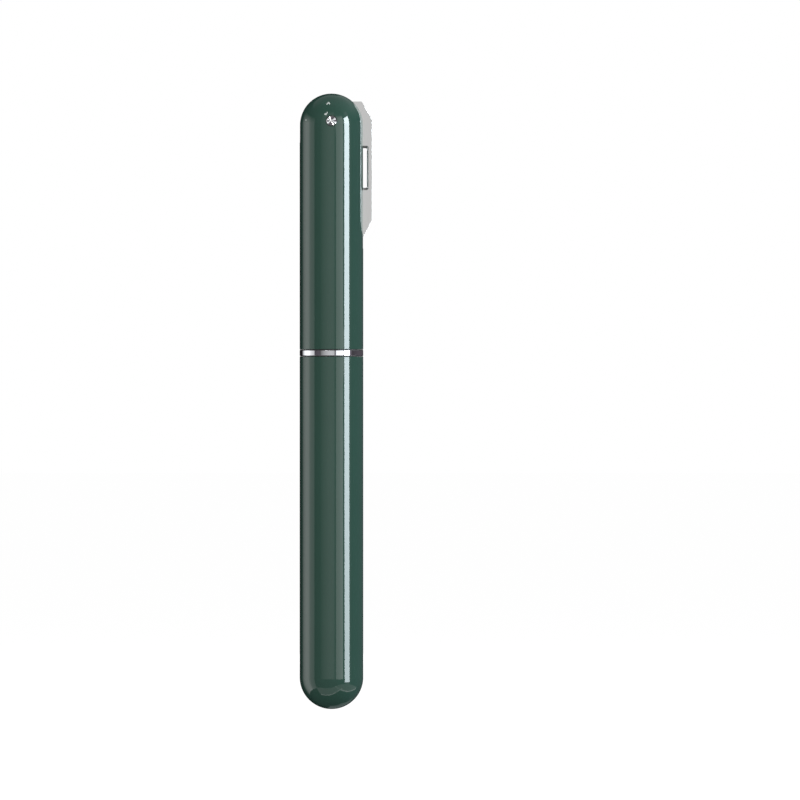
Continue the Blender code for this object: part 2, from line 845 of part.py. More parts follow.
def blade_plate(finish, parent):
    """The blade: a flat plate whose inner side is ground to an edge on both faces."""
    tang_end = -math.degrees(math.acos(edge_x / blade_shoulder_height))
    tang = arc((0, 0), blade_shoulder_height, 90, 360 + tang_end, tang_steps)
    chamfer_length = math.hypot(tip_inset, tip_drop)
    grind_share = grind_width / chamfer_length
    grind_end = (tip_x + tip_inset * grind_share, tip_y + tip_drop * grind_share)
    shares = [(i + 1) / edge_steps for i in range(edge_steps)]
    grind_line = [belly(t, grind_width, grind_end) for t in shares]
    edge_line = [belly(t, 0, (tip_x, tip_y)) for t in shares]
    heel = (edge_x, edge_start)
    rest = [
        (spine_x, spine_bottom),
        (spine_x, spine_top),
        (shoulder_x, blade_shoulder_height),
    ]
    outline = [*tang, heel, *grind_line, *rest]
    ground = range(len(tang), len(tang) + edge_steps)

    bm = bmesh.new()
    half = blade_thickness / 2
    front = [bm.verts.new((x, y, half)) for x, y in outline]
    back = [bm.verts.new((x, y, -half)) for x, y in outline]
    bm.faces.new(front)
    bm.faces.new(back[::-1])
    for i in range(len(outline)):
        j = (i + 1) % len(outline)
        if i not in ground:
            bm.faces.new((front[j], front[i], back[i], back[j]))
    thin = edge_thickness / 2
    heel_index = len(tang)
    edge_front = [front[heel_index]] + [bm.verts.new((x, y, thin)) for x, y in edge_line]
    edge_back = [back[heel_index]] + [bm.verts.new((x, y, -thin)) for x, y in edge_line]
    for step in range(edge_steps):
        a, b = heel_index + step, heel_index + step + 1
        for plate, edge in ((front, edge_front), (back, edge_back)):
            corners = [plate[a], plate[b], edge[step + 1], edge[step]]
            if step == 0:
                corners = corners[:3]
            bm.faces.new(corners)
        bm.faces.new((edge_front[step], edge_front[step + 1], edge_back[step + 1], edge_back[step]))
    last = heel_index + edge_steps
    bm.faces.new((front[last], back[last], edge_back[-1], edge_front[-1]))
    return placed("foil_blade", finished_mesh("foil_blade", bm), finish, parent)


def foil_blade(finish, parent):
    """The blade with its pivot hole and the nail slot along its spine."""
    plate = blade_plate(finish, parent)
    half = blade_thickness / 2 + cut_overrun
    hole = arc((0, 0), pin_hole_radius, 0, 360, small_sides)[:-1]
    cut(plate, prism("blade_pivot_hole", hole, -half, half, None, parent))
    right = spine_x - nail_slot_inset - nail_slot_corner
    left = right - nail_slot_width + 2 * nail_slot_corner
    low = spine_bottom + nail_slot_rise + nail_slot_corner
    high = low + nail_slot_length - 2 * nail_slot_corner
    corners = [(right, high), (left, high), (left, low), (right, low)]
    outline = []
    for quarter, corner in enumerate(corners):
        outline += arc(corner, nail_slot_corner, 90 * quarter, 90 * (quarter + 1), slot_corner_steps)
    cut(plate, prism("nail_slot", outline, -half, half, None, parent))


def build():
    clear_scene()
    green = material("green_gloss_plastic", (0.035, 0.093, 0.078), 0.12, 0.0)
    chrome = material("polished_chrome", (0.78, 0.78, 0.8), 0.08, 1.0)
    steel = material("satin_stainless_steel", (0.55, 0.56, 0.56), 0.3, 1.0)
    aluminium = material("drawn_aluminium", (0.66, 0.67, 0.69), 0.32, 1.0)
    brass = material("turned_brass", (0.72, 0.55, 0.26), 0.28, 1.0)
    black = material("black_moulded_nylon", (0.022, 0.022, 0.024), 0.5, 0.0)
    acetal = material("white_acetal", (0.72, 0.71, 0.68), 0.42, 0.0)
    rubber = material("black_nitrile_rubber", (0.015, 0.015, 0.016), 0.65, 0.0)

    pump = joint_frame("pump_frame")
    pump_sleeve(green, pump)
    cylinder_tube(aluminium, pump)
    end_plug(black, pump)
    end_plug_oring(rubber, pump)
    bump_washer(rubber, pump)
    gland_bush(acetal, pump)
    gland_wiper(rubber, pump)
    gland_nut(black, pump)

    plunger = joint_frame("plunger_frame")
    plunger_tube(steel, plunger)
    piston_body(acetal, plunger)
    piston_cup(rubber, plunger)
    piston_nut(brass, plunger)
    piston_oring(rubber, plunger)
    valve_retainer(brass, plunger)
    valve_spring(steel, plunger)
    head_body(black, plunger)
    trim_ring(chrome, plunger)
    head_oring(rubber, plunger)
    cap_grip_ring(rubber, plunger)
    needle_hub(brass, plunger)
    hub_gasket(rubber, plunger)
    needle(steel, plunger)

    check_ball(steel, joint_frame("ball_frame", (0, 0, ball_z)))

    cap = joint_frame("cap_frame")
    pivot = joint_frame("pivot_frame", (0, 0, pivot_z), (math.radians(90), 0, 0))
    cap_shell(green, cap, pivot)
    cap_liner(black, cap)
    blade_carrier(black, cap, pivot)
    pivot_pin(chrome, pivot)
    pivot_screw(steel, pivot)
    thrust_washers(acetal, pivot)
    tension_washer(steel, pivot)

    foil_blade(steel, joint_frame("blade_frame", (0, 0, pivot_z), (math.radians(90), 0, 0)))


build()
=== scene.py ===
"""Looks of the air pump wine opener: fine pieces over the CAD frame, finishes, studio and camera.

Metres, in the CAD's frame: +Z runs up the body, +X is the foil blade's side and the camera looks along +Y.
"""

import json
import math

import bpy
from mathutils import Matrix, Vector


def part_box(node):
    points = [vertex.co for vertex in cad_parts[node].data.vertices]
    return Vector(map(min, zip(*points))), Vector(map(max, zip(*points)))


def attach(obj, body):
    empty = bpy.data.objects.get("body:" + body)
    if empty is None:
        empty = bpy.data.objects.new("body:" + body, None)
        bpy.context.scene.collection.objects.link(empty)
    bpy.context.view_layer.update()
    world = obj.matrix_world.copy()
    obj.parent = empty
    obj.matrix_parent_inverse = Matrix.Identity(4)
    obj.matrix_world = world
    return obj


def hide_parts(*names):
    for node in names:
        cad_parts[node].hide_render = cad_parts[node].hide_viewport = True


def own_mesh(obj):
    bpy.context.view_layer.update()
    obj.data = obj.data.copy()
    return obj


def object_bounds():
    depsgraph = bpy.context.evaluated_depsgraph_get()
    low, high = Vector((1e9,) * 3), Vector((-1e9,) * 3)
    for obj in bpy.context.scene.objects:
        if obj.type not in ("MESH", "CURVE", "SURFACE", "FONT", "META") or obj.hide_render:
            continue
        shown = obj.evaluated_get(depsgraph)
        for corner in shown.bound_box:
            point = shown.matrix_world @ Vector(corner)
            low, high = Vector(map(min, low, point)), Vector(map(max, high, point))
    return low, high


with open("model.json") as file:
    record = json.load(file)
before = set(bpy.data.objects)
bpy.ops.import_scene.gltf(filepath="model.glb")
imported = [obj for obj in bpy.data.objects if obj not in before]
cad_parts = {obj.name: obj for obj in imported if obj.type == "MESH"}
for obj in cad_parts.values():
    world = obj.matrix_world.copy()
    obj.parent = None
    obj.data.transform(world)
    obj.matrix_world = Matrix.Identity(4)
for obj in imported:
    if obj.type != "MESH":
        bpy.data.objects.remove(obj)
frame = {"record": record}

cad_low, cad_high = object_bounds()
record = frame["record"]
body_of = {node: body for body, nodes in record["behaviour"]["bodies"].items() for node in nodes}
slot_of = {subpart["node"]: subpart["material_slot"] for subpart in record["subparts"]}

# Facets, tolerances and broken edges
shell_sides = 144
small_sides = 96
dome_steps = 32
tang_steps = 40
edge_steps = 24
corner_steps = 6
side_steps = 24
band_steps = 4
round_steps = 3
lip_steps = 4
sharp_angle = 35
smooth_angle = 40
start_size = 0.001
weld_distance = 0.000001
rim_tolerance = 0.00006
cut_overrun = 0.001
edge_break = 0.0001

# Sizes of the shells and the ring that the frame's boxes don't give
shell_wall = 0.0017
shell_lip_round = 0.0004
mouth_round = 0.0002
ring_width = 0.0012
ring_edge_round = 0.00012
slot_half_width = 0.0012
slot_end_gap = 0.0006
seat_gap = 0.0003

# The blade, about its pivot
blade_shoulder_height = 0.0068
blade_edge_x = 0.0045
blade_edge_run_in = 0.0022
blade_grind = 0.0018
blade_edge_thickness = 0.0001
blade_belly_share = 0.7
blade_edge_round = 0.00009
upper_chamfer_width = 0.00365
upper_chamfer_height = 0.0063
spine_length = 0.0348
tip_inset = 0.0049
nail_slot_inset = 0.00134
nail_slot_width = 0.00252
nail_slot_length = 0.0153
nail_slot_rise = 0.0105
nail_slot_corner = 0.0007
nail_slot_side_draft = 0.0005
nail_slot_end_draft = 0.0008
nail_slot_overrun = 0.0003

# The pivot
pin_radius = 0.0011
pin_hole_radius = 0.0014
pin_counterbore_radius = 0.00205
pin_head_height = 0.0008
pin_bore_radius = 0.00075
groove_pitch = 0.00014
groove_depth = 0.0000286
groove_steps = 2
screw_shank_radius = 0.00045
screw_slot_width = 0.0005
screw_slot_depth = 0.0003

# The parts inside, where the frame's boxes don't give a size
inner_round = 0.00012
lip_round = 0.00005
seal_sides = 24
hexagon_sides = 6
hexagon_top_angle = 30
wire_sides = 12
spring_steps = 48
tube_wall = 0.001
cylinder_wall = 0.0008
gland_flange = 0.0018
wiper_lip = 0.0004
spanner_hole_radius = 0.0007
spanner_hole_depth = 0.0015
bump_hole_radius = 0.003
inlet_radius = 0.0009
inlet_length = 0.0021
ball_clearance = 0.0004
neck_wall = 0.0024
retainer_step = 0.0009
spring_wire_radius = 0.0002
spring_turns = 6
retainer_hole_radius = 0.0009
cup_web = 0.0014
cup_shoulder = 0.0005
cup_lip_thickness = 0.0007
gap_lip_inset = 0.00008
gap_lip_root = 0.0085
gap_lip_thickness = 0.00031
grip_ring_stand = 0.0002
boss_chamfer = 0.0004
air_passage_radius = 0.0015
hub_radius = 0.0036
hub_flange = 0.0012
gasket_hole_radius = 0.0009
needle_bore_radius = 0.0005
needle_point_radius = 0.00012
needle_point_length = 0.005
needle_port_radius = 0.0004
needle_port_drop = 0.0085
liner_wall = 0.0011
liner_lead_in = 0.0004
needle_clearance = 0.0011
carrier_web = 0.0017
funnel_flare = 0.0015
funnel_height = 0.0025
bore_end_web = 0.0019
washer_dish = 0.0002

# Sizes read from the frame
sleeve_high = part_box("pump_sleeve")[1]
cap_low, cap_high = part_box("cap_shell")
ring_low, ring_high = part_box("trim_ring")
blade_low, blade_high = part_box("foil_blade")
pin_low, pin_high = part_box("pivot_pin")
screw_low, screw_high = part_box("pivot_screw")
body_radius = sleeve_high.x
shell_inner_radius = body_radius - shell_wall
upper_dome_z = cap_high.z - math.sqrt(body_radius**2 - (slot_half_width + shell_lip_round) ** 2)
pivot_z = (pin_low.z + pin_high.z) / 2
pin_head_radius = pin_high.x
pin_ledge = -pin_low.y - pin_head_height - seat_gap
slot_bottom_z = blade_low.z - slot_end_gap
slot_floor_z = pivot_z - blade_shoulder_height - seat_gap
washer_low, washer_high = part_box("thrust_washer_front")
tension_low, tension_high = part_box("tension_washer")
washer_radius = washer_high.x
foot_of = {node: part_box(node)[0].z for node in slot_of}
top_of = {node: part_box(node)[1].z for node in slot_of}
radius_of = {node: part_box(node)[1].x for node in slot_of}
guide_bore = radius_of["plunger_tube"] + seat_gap
guide_radius = radius_of["piston_cup"]
spigot_radius = radius_of["plunger_tube"] - tube_wall - seat_gap
chamber_radius = radius_of["check_ball"] + ball_clearance
neck_radius = chamber_radius + neck_wall

# Tilts about X that turn a piece made about +Z to face the camera, or away from it
to_front = 90
to_back = -90


def extent(node):
    """The foot, top and radius of a CAD node."""
    return foot_of[node], top_of[node], radius_of[node]


def select_only(piece):
    bpy.ops.object.select_all(action="DESELECT")
    bpy.context.view_layer.objects.active = piece
    piece.select_set(True)


def begin(name, point):
    """Starts a piece as one vertex in edit mode."""
    bpy.ops.object.select_all(action="DESELECT")
    bpy.ops.mesh.primitive_plane_add(size=start_size, location=(0, 0, 0))
    piece = bpy.context.object
    piece.name = name
    piece.data.name = name
    bpy.ops.object.mode_set(mode="EDIT")
    bpy.ops.mesh.select_mode(type="VERT")
    bpy.ops.mesh.select_all(action="SELECT")
    bpy.ops.mesh.merge(type="CENTER")
    bpy.ops.transform.translate(value=point)
    return piece


def extrude(by):
    """Extrudes what is selected and moves it."""
    bpy.ops.mesh.extrude_region_move(TRANSFORM_OT_translate={"value": by})


def draw(points):
    """Extrudes the selected vertex from point to point."""
    for here, there in zip(points, points[1:]):
        extrude(Vector(there) - Vector(here))


def weld():
    """Merges doubles and leaves everything selected."""
    bpy.ops.mesh.select_all(action="SELECT")
    bpy.ops.mesh.remove_doubles(threshold=weld_distance)
    bpy.ops.mesh.select_all(action="SELECT")


def close_up():
    """Merges doubles, turns the faces outwards and leaves edit mode."""
    weld()
    bpy.ops.mesh.normals_make_consistent(inside=False)
    bpy.ops.object.mode_set(mode="OBJECT")


def edit(piece):
    select_only(piece)
    bpy.ops.object.mode_set(mode="EDIT")


def sheet(name, outline):
    """A flat face with the given outline, left in edit mode."""
    piece = begin(name, outline[0])
    draw([*outline, outline[0]])
    weld()
    bpy.ops.mesh.edge_face_add()
    return piece


def choose(piece, mode, test):
    """Selects the vertices, edges or faces whose corners pass a test."""
    bpy.ops.mesh.select_mode(type=mode)
    bpy.ops.mesh.select_all(action="DESELECT")
    bpy.ops.object.mode_set(mode="OBJECT")
    mesh = piece.data
    for item in {"VERT": mesh.vertices, "EDGE": mesh.edges, "FACE": mesh.polygons}[mode]:
        if mode == "VERT":
            places = [item.co]
        else:
            places = [mesh.vertices[i].co for i in item.vertices]
        item.select = test(places)
    bpy.ops.object.mode_set(mode="EDIT")


def arc(centre, radius, start, end, steps):
    """Points on a circle from one angle to another, in degrees, both ends included."""
    angles = [math.radians(start + (end - start) * i / steps) for i in range(steps + 1)]
    return [(centre[0] + radius * math.cos(a), centre[1] + radius * math.sin(a)) for a in angles]


def band(inner, outer, low, high):
    """The section of a plain ring or, where the inner radius is 0, of a disc."""
    return [(inner, low), (outer, low), (outer, high), (inner, high)]


def turned(name, profile, sides=small_sides):
    """A lathe-turned piece: (radius, height) points spun about +Z, a closed loop if it is off the axis."""
    points = [(radius, 0, height) for radius, height in profile]
    if profile[0][0] > weld_distance:
        points.append(points[0])
    piece = begin(name, points[0])
    draw(points)
    weld()
    bpy.ops.mesh.spin(steps=sides, angle=math.tau, center=(0, 0, 0), axis=(0, 0, 1))
    close_up()
    return piece


def placed(piece, location, tilt=0.0):
    """Tips a piece that was made about +Z by an angle about X, in degrees, and moves it."""
    select_only(piece)
    piece.rotation_euler = (math.radians(tilt), 0, 0)
    piece.location = location
    bpy.ops.object.transform_apply(location=True, rotation=True, scale=True)
    return piece


def set_on_pivot(piece):
    """Turns a piece that was made about +Z onto the blade's pivot, facing the camera."""
    return placed(piece, (0, 0, pivot_z), to_front)


def modified(piece, kind, **settings):
    """Adds a modifier and applies it."""
    modifier = piece.modifiers.new(kind.lower(), kind)
    for key, value in settings.items():
        setattr(modifier, key, value)
    select_only(piece)
    bpy.ops.object.modifier_apply(modifier=modifier.name)


def combine(piece, other, operation):
    """Joins, intersects or subtracts another piece, which leaves the scene."""
    modified(piece, "BOOLEAN", operation=operation, solver="EXACT", object=other)
    bpy.data.objects.remove(other)


def cut(piece, cutter):
    combine(piece, cutter, "DIFFERENCE")


def stand_for(piece, node, surface, edge=0, segments=round_steps):
    """Rounds a piece's edges, smooths it, gives it its finish and puts it in its CAD node's place."""
    if edge:
        limit = math.radians(sharp_angle)
        modified(piece, "BEVEL", width=edge, segments=segments, limit_method="ANGLE", angle_limit=limit)
    select_only(piece)
    bpy.ops.object.shade_smooth_by_angle(angle=math.radians(smooth_angle))
    modified(piece, "WEIGHTED_NORMAL", keep_sharp=True)
    piece.data.materials.append(surface)
    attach(piece, body_of[node])
    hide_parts(node)


def srgb(code):
    """A hex colour as linear RGBA."""
    channels = [int(code[i : i + 2], 16) / 255 for i in (1, 3, 5)]
    return (*(c / 12.92 if c <= 0.04045 else ((c + 0.055) / 1.055) ** 2.4 for c in channels), 1.0)


def add(tree, kind, inputs=None, **settings):
    """Adds a node with its settings. An input that is given a socket is linked to it."""
    made = tree.nodes.new(kind)
    for key, value in settings.items():
        setattr(made, key, value)
    for key, value in (inputs or {}).items():
        if isinstance(value, bpy.types.NodeSocket):
            tree.links.new(value, made.inputs[key])
        else:
            made.inputs[key].default_value = value
    return made


def new_material(name):
    """A material with its node tree and its shader."""
    made = bpy.data.materials.new(name)
    made.use_nodes = True
    return made, made.node_tree, made.node_tree.nodes["Principled BSDF"]


def set_inputs(shader, **values):
    for key, value in values.items():
        shader.inputs[key.replace("_", " ")].default_value = value


# Widths of the finishes' patterns and depths of their relief, in metres. Grain and grit are drawn coarser
# than the real 0.01 to 0.1 mm, which would not show.
abs_patch = 0.0167
abs_ripple = 0.004
abs_ripple_depth = 0.000001
polymer_patch = 0.0067
fine_grain = 0.0002
grain_depth = 0.000004
mirror_depth = 0.0000004
grain_stretch = 0.02
# How strongly each relief turns the light
ripple_strength = 0.3
grain_strength = 0.5
grit_strength = 0.6
# Roughness from the lows to the highs of a pattern
abs_roughness = (0.036, 0.05)
grain_roughness_shares = (0.75, 1.3)
polymer_roughness_spread = 0.06
# The Mix node's colour sockets, since its number sockets have the same names
mix_first, mix_second, mix_result = 6, 7, 2


def lay_tones(tree, shader, place, tones, patch, detail):
    """Two close tones of a colour, in soft patches."""
    cloud = add(tree, "ShaderNodeTexNoise", {"Vector": place, "Scale": 1 / patch, "Detail": detail})
    tone = add(tree, "ShaderNodeMix", {"Factor": cloud.outputs["Fac"]}, data_type="RGBA")
    for socket, colour in zip((mix_first, mix_second), tones):
        tone.inputs[socket].default_value = srgb(colour)
    tree.links.new(tone.outputs[mix_result], shader.inputs["Base Color"])


def work_surface(tree, shader, sheen, roughness, relief, strength, depth):
    """Roughness between two values, as one pattern goes, and the relief of another."""
    low, high = roughness
    rough = add(tree, "ShaderNodeMapRange", {"Value": sheen.outputs["Fac"], "To Min": low, "To Max": high})
    bumps = {"Height": relief.outputs["Fac"], "Strength": strength, "Distance": depth}
    bump = add(tree, "ShaderNodeBump", bumps)
    tree.links.new(rough.outputs["Result"], shader.inputs["Roughness"])
    tree.links.new(bump.outputs["Normal"], shader.inputs["Normal"])


def gloss_abs():
    """Injection-moulded ABS from a polished tool: a deep gloss with the faintest ripple in it."""
    made, tree, shader = new_material("gloss_moulded_abs")
    place = add(tree, "ShaderNodeTexCoord").outputs["Object"]
    set_inputs(shader, IOR=1.54)
    lay_tones(tree, shader, place, ("#304f47", "#33544c"), abs_patch, detail=2.0)
    handled = add(tree, "ShaderNodeTexNoise", {"Vector": place, "Scale": 1 / abs_patch, "Detail": 0.0})
    ripple = add(tree, "ShaderNodeTexNoise", {"Vector": place, "Scale": 1 / abs_ripple, "Detail": 1.0})
    work_surface(tree, shader, handled, abs_roughness, ripple, ripple_strength, abs_ripple_depth)
    return made


def metal(name, colour, roughness, pitch=fine_grain, depth=grain_depth, axis="Z"):
    """A metal with a worked grain: fine lines whose height changes along one axis only."""
    made, tree, shader = new_material(name)
    set_inputs(shader, Base_Color=srgb(colour), Metallic=1.0)
    stretch = [grain_stretch] * 3
    stretch["XYZ".index(axis)] = 1.0
    place = add(tree, "ShaderNodeTexCoord").outputs["Object"]
    along = add(tree, "ShaderNodeMapping", {"Vector": place, "Scale": stretch}).outputs["Vector"]
    lines = add(tree, "ShaderNodeTexNoise", {"Vector": along, "Scale": 1 / pitch, "Detail": 5.0})
    limits = [roughness * share for share in grain_roughness_shares]
    work_surface(tree, shader, lines, limits, lines, grain_strength, depth)
    return made


def plain_polymer(name, tones, roughness, grit, depth, ior):
    """A matt moulding or rubber: two close tones and a fine grit in the surface."""
    made, tree, shader = new_material(name)
    place = add(tree, "ShaderNodeTexCoord").outputs["Object"]
    set_inputs(shader, IOR=ior)
    lay_tones(tree, shader, place, tones, polymer_patch, detail=3.0)
    sand = add(tree, "ShaderNodeTexNoise", {"Vector": place, "Scale": 1 / grit, "Detail": 3.0})
    limits = (roughness - polymer_roughness_spread, roughness + polymer_roughness_spread)
    work_surface(tree, shader, sand, limits, sand, grit_strength, depth)
    return made


surfaces = {
    # A deep, even shine on dark green
    "green_gloss_abs": gloss_abs(),
    # Plated over a polished turning: a clean mirror
    "polished_chrome": metal("polished_chrome_plate", "#e2e3e7", 0.05, pitch=0.0004, depth=mirror_depth),
    # Satin-ground in fine rings, which draw a highlight out lengthwise
    "stainless_steel": metal("satin_stainless_steel", "#c9cbcd", 0.3),
    # Drawn and then honed: a soft grey sheen
    "drawn_aluminium": metal("drawn_aluminium", "#c4c6ca", 0.32, pitch=0.0003),
    # Warm, with the tool's fine rings
    "brass": metal("turned_brass", "#dcb978", 0.26),
    # Moulded in a spark-eroded tool: matt, with an even grit
    "black_nylon": plain_polymer(
        "spark_textured_nylon", ("#27272a", "#2c2c2f"), 0.5, grit=0.0002, depth=0.00001, ior=1.53
    ),
    # Machined from rod: off white with a soft sheen
    "white_acetal": plain_polymer(
        "machined_acetal", ("#dcdad4", "#e2e0da"), 0.42, grit=0.0003, depth=0.000006, ior=1.48
    ),
    # Moulded and dull, with hardly a highlight
    "nitrile_rubber": plain_polymer(
        "nitrile_rubber", ("#202022", "#262628"), 0.62, grit=0.0003, depth=0.000012, ior=1.52
    ),
}
# The pin's head: a mirror whose lathe grooves, which are in its mesh, spread light into wedges
faced_chrome = metal("faced_chrome", "#e6e6e8", 0.06, depth=mirror_depth, axis="Y")
# The blade: ground along its length to a pale, even grey
blade_steel = metal("straight_grained_steel", "#e9e9e8", 0.14, depth=0.000002, axis="X")


def pump_sleeve():
    """The long half: a moulded tube with a round closed end."""
    outer = arc((0, body_radius), body_radius, -90, 0, dome_steps)
    inner = arc((0, body_radius), shell_inner_radius, 0, -90, dome_steps)
    mouth = [(body_radius, sleeve_high.z), (shell_inner_radius, sleeve_high.z)]
    piece = turned("sleeve_moulding", outer + mouth + inner, shell_sides)
    stand_for(piece, "pump_sleeve", surfaces["green_gloss_abs"], mouth_round)


def in_slot(places):
    """Whether an edge or face of the cap's skin lies in the blade's slot."""
    low = min(p.z for p in places) + weld_distance
    return all(abs(p.y) < slot_half_width + weld_distance for p in places) and (
        low > slot_floor_z or (low > slot_bottom_z and max(p.x for p in places) > 0)
    )


def on_slot_rim(p, half_width):
    """Whether a point of the cap lies on the slot's rim."""
    if p.z < slot_bottom_z - weld_distance or (p.x < 0 and p.z < slot_floor_z - weld_distance):
        return False
    at_end = abs(p.z - (slot_bottom_z if p.x > 0 else slot_floor_z)) < weld_distance
    return abs(abs(p.y) - half_width) < rim_tolerance or (at_end and abs(p.y) < half_width)


def cap_shell():
    """The short half, swept up one side, over the top and down the other, so the slot's lips run true."""
    lip = math.degrees(math.asin(slot_half_width / body_radius))
    half_ring = arc((0, 0), body_radius, -90, -lip, side_steps)
    half_ring += arc((0, 0), body_radius, -lip, lip, band_steps)[1:]
    half_ring += arc((0, 0), body_radius, lip, 90, side_steps)[1:]
    points = [(x, y, cap_low.z) for x, y in half_ring]
    levels = [cap_low.z, slot_bottom_z, slot_floor_z, upper_dome_z]
    piece = begin("cap_moulding", points[0])
    draw(points)
    bpy.ops.mesh.select_all(action="SELECT")
    for here, there in zip(levels, levels[1:]):
        extrude((0, 0, there - here))
    bpy.ops.mesh.spin(steps=dome_steps * 2, angle=math.pi, center=(0, 0, upper_dome_z), axis=(0, 1, 0))
    for here, there in zip(levels[::-1], levels[-2::-1]):
        extrude((0, 0, there - here))
    close_up()

    edit(piece)
    choose(piece, "FACE", in_slot)
    bpy.ops.mesh.delete(type="FACE")
    bpy.ops.object.mode_set(mode="OBJECT")
    modified(piece, "SOLIDIFY", thickness=shell_wall, offset=-1, use_even_offset=True)

    middle_radius = body_radius - shell_wall / 2
    narrowed = slot_half_width * shell_inner_radius / body_radius

    def inside(p):
        return math.hypot(p.x, p.y, max(p.z - upper_dome_z, 0)) < middle_radius

    def on_lip(p):
        return on_slot_rim(p, slot_half_width) and not inside(p)

    def at_mouth(p):
        return abs(p.z - cap_low.z) < weld_distance and not inside(p)

    # The wall narrows the slot inside, so its inner rim is widened again before the lips are rounded
    edit(piece)
    choose(piece, "VERT", lambda places: inside(places[0]) and on_slot_rim(places[0], narrowed))
    bpy.ops.transform.resize(value=(1, slot_half_width / narrowed, 1), center_override=(0, 0, 0))
    choose(piece, "EDGE", lambda places: all(map(on_lip, places)))
    bpy.ops.mesh.bevel(offset=shell_lip_round, segments=lip_steps, affect="EDGES")
    choose(piece, "EDGE", lambda places: all(map(at_mouth, places)))
    bpy.ops.mesh.bevel(offset=mouth_round, segments=round_steps, affect="EDGES")
    bpy.ops.object.mode_set(mode="OBJECT")
    return piece


def pin_holes(shell):
    """The stepped hole through both sides of the cap, in which the pin's head and its screw sit."""
    out = body_radius + cut_overrun
    profile = [
        (0, -out),
        (pin_counterbore_radius, -out),
        (pin_counterbore_radius, -pin_ledge),
        (pin_hole_radius, -pin_ledge),
        (pin_hole_radius, pin_ledge),
        (pin_counterbore_radius, pin_ledge),
        (pin_counterbore_radius, out),
        (0, out),
    ]
    cut(shell, set_on_pivot(turned("pin_hole", profile)))


def trim_ring():
    """The bright ring between the halves."""
    profile = band(body_radius - ring_width, body_radius, ring_low.z, ring_high.z)
    piece = turned("ring_turning", profile, shell_sides)
    stand_for(piece, "trim_ring", surfaces["polished_chrome"], ring_edge_round)


def blade_lines():
    """The blade's outline to its grind line, and its cutting edge, as (x, z) points about the pivot."""
    spine_x = blade_high.x
    spine_top = blade_shoulder_height - upper_chamfer_height
    spine_bottom = spine_top - spine_length
    tip = (spine_x - tip_inset, blade_low.z - pivot_z)
    edge_start = -(blade_shoulder_height + blade_edge_run_in)
    drop = math.hypot(tip_inset, spine_bottom - tip[1])
    grind_share = blade_grind / drop
    grind_tip = (tip[0] + tip_inset * grind_share, tip[1] + (spine_bottom - tip[1]) * grind_share)
    belly_z = edge_start + (tip[1] - edge_start) * blade_belly_share

    def belly(share, inset, end):
        x = blade_edge_x + inset
        stops = ((x, edge_start), (x, belly_z), end)
        weights = ((1 - share) ** 2, 2 * share * (1 - share), share**2)
        return tuple(sum(w * stop[k] for w, stop in zip(weights, stops)) for k in range(2))

    heel = (blade_edge_x, edge_start)
    shares = [(i + 1) / edge_steps for i in range(edge_steps)]
    grind_line = [heel] + [belly(share, blade_grind, grind_tip) for share in shares]
    cutting_edge = [heel] + [belly(share, 0, tip) for share in shares]
    tang_end = -math.degrees(math.acos(blade_edge_x / blade_shoulder_height))
    tang = arc((0, 0), blade_shoulder_height, 90, 360 + tang_end, tang_steps)
    shoulder = (spine_x - upper_chamfer_width, blade_shoulder_height)
    outline = [*tang, *grind_line, (spine_x, spine_bottom), (spine_x, spine_top), shoulder]
    return [[(x, 0, pivot_z + z) for x, z in line] for line in (outline, grind_line, cutting_edge)]


def nail_slot():
    """A cutter for the nail slot: rounded corners, and walls that draw in to the middle from both faces."""
    half = blade_high.y
    out = half + nail_slot_overrun
    spine_bottom_z = pivot_z + blade_shoulder_height - upper_chamfer_height - spine_length
    middle_x = blade_high.x - nail_slot_inset - nail_slot_width / 2
    middle_z = spine_bottom_z + nail_slot_rise + nail_slot_length / 2
    side = nail_slot_side_draft * out / half
    end = nail_slot_end_draft * out / half
    waist = (nail_slot_width - 2 * nail_slot_side_draft, nail_slot_length - 2 * nail_slot_end_draft)
    mouth = (waist[0] + 2 * side, waist[1] + 2 * end)
    narrow = (waist[0] / mouth[0], 1, waist[1] / mouth[1])
    widen = tuple(1 / share for share in narrow)
    bpy.ops.object.select_all(action="DESELECT")
    bpy.ops.mesh.primitive_plane_add(size=1, rotation=(math.radians(to_front), 0, 0))
    cutter = bpy.context.object
    cutter.scale = (mouth[0], mouth[1], 1)
    cutter.location = (middle_x, -out, middle_z)
    bpy.ops.object.transform_apply(location=True, rotation=True, scale=True)
    bpy.ops.object.mode_set(mode="EDIT")
    bpy.ops.mesh.select_mode(type="VERT")
    bpy.ops.mesh.select_all(action="SELECT")
    bpy.ops.mesh.bevel(offset=nail_slot_corner, segments=corner_steps, affect="VERTICES")
    for scale, place in ((narrow, 0), (widen, out)):
        extrude((0, out, 0))
        bpy.ops.transform.resize(value=scale, center_override=(middle_x, place, middle_z))
    close_up()
    return cutter


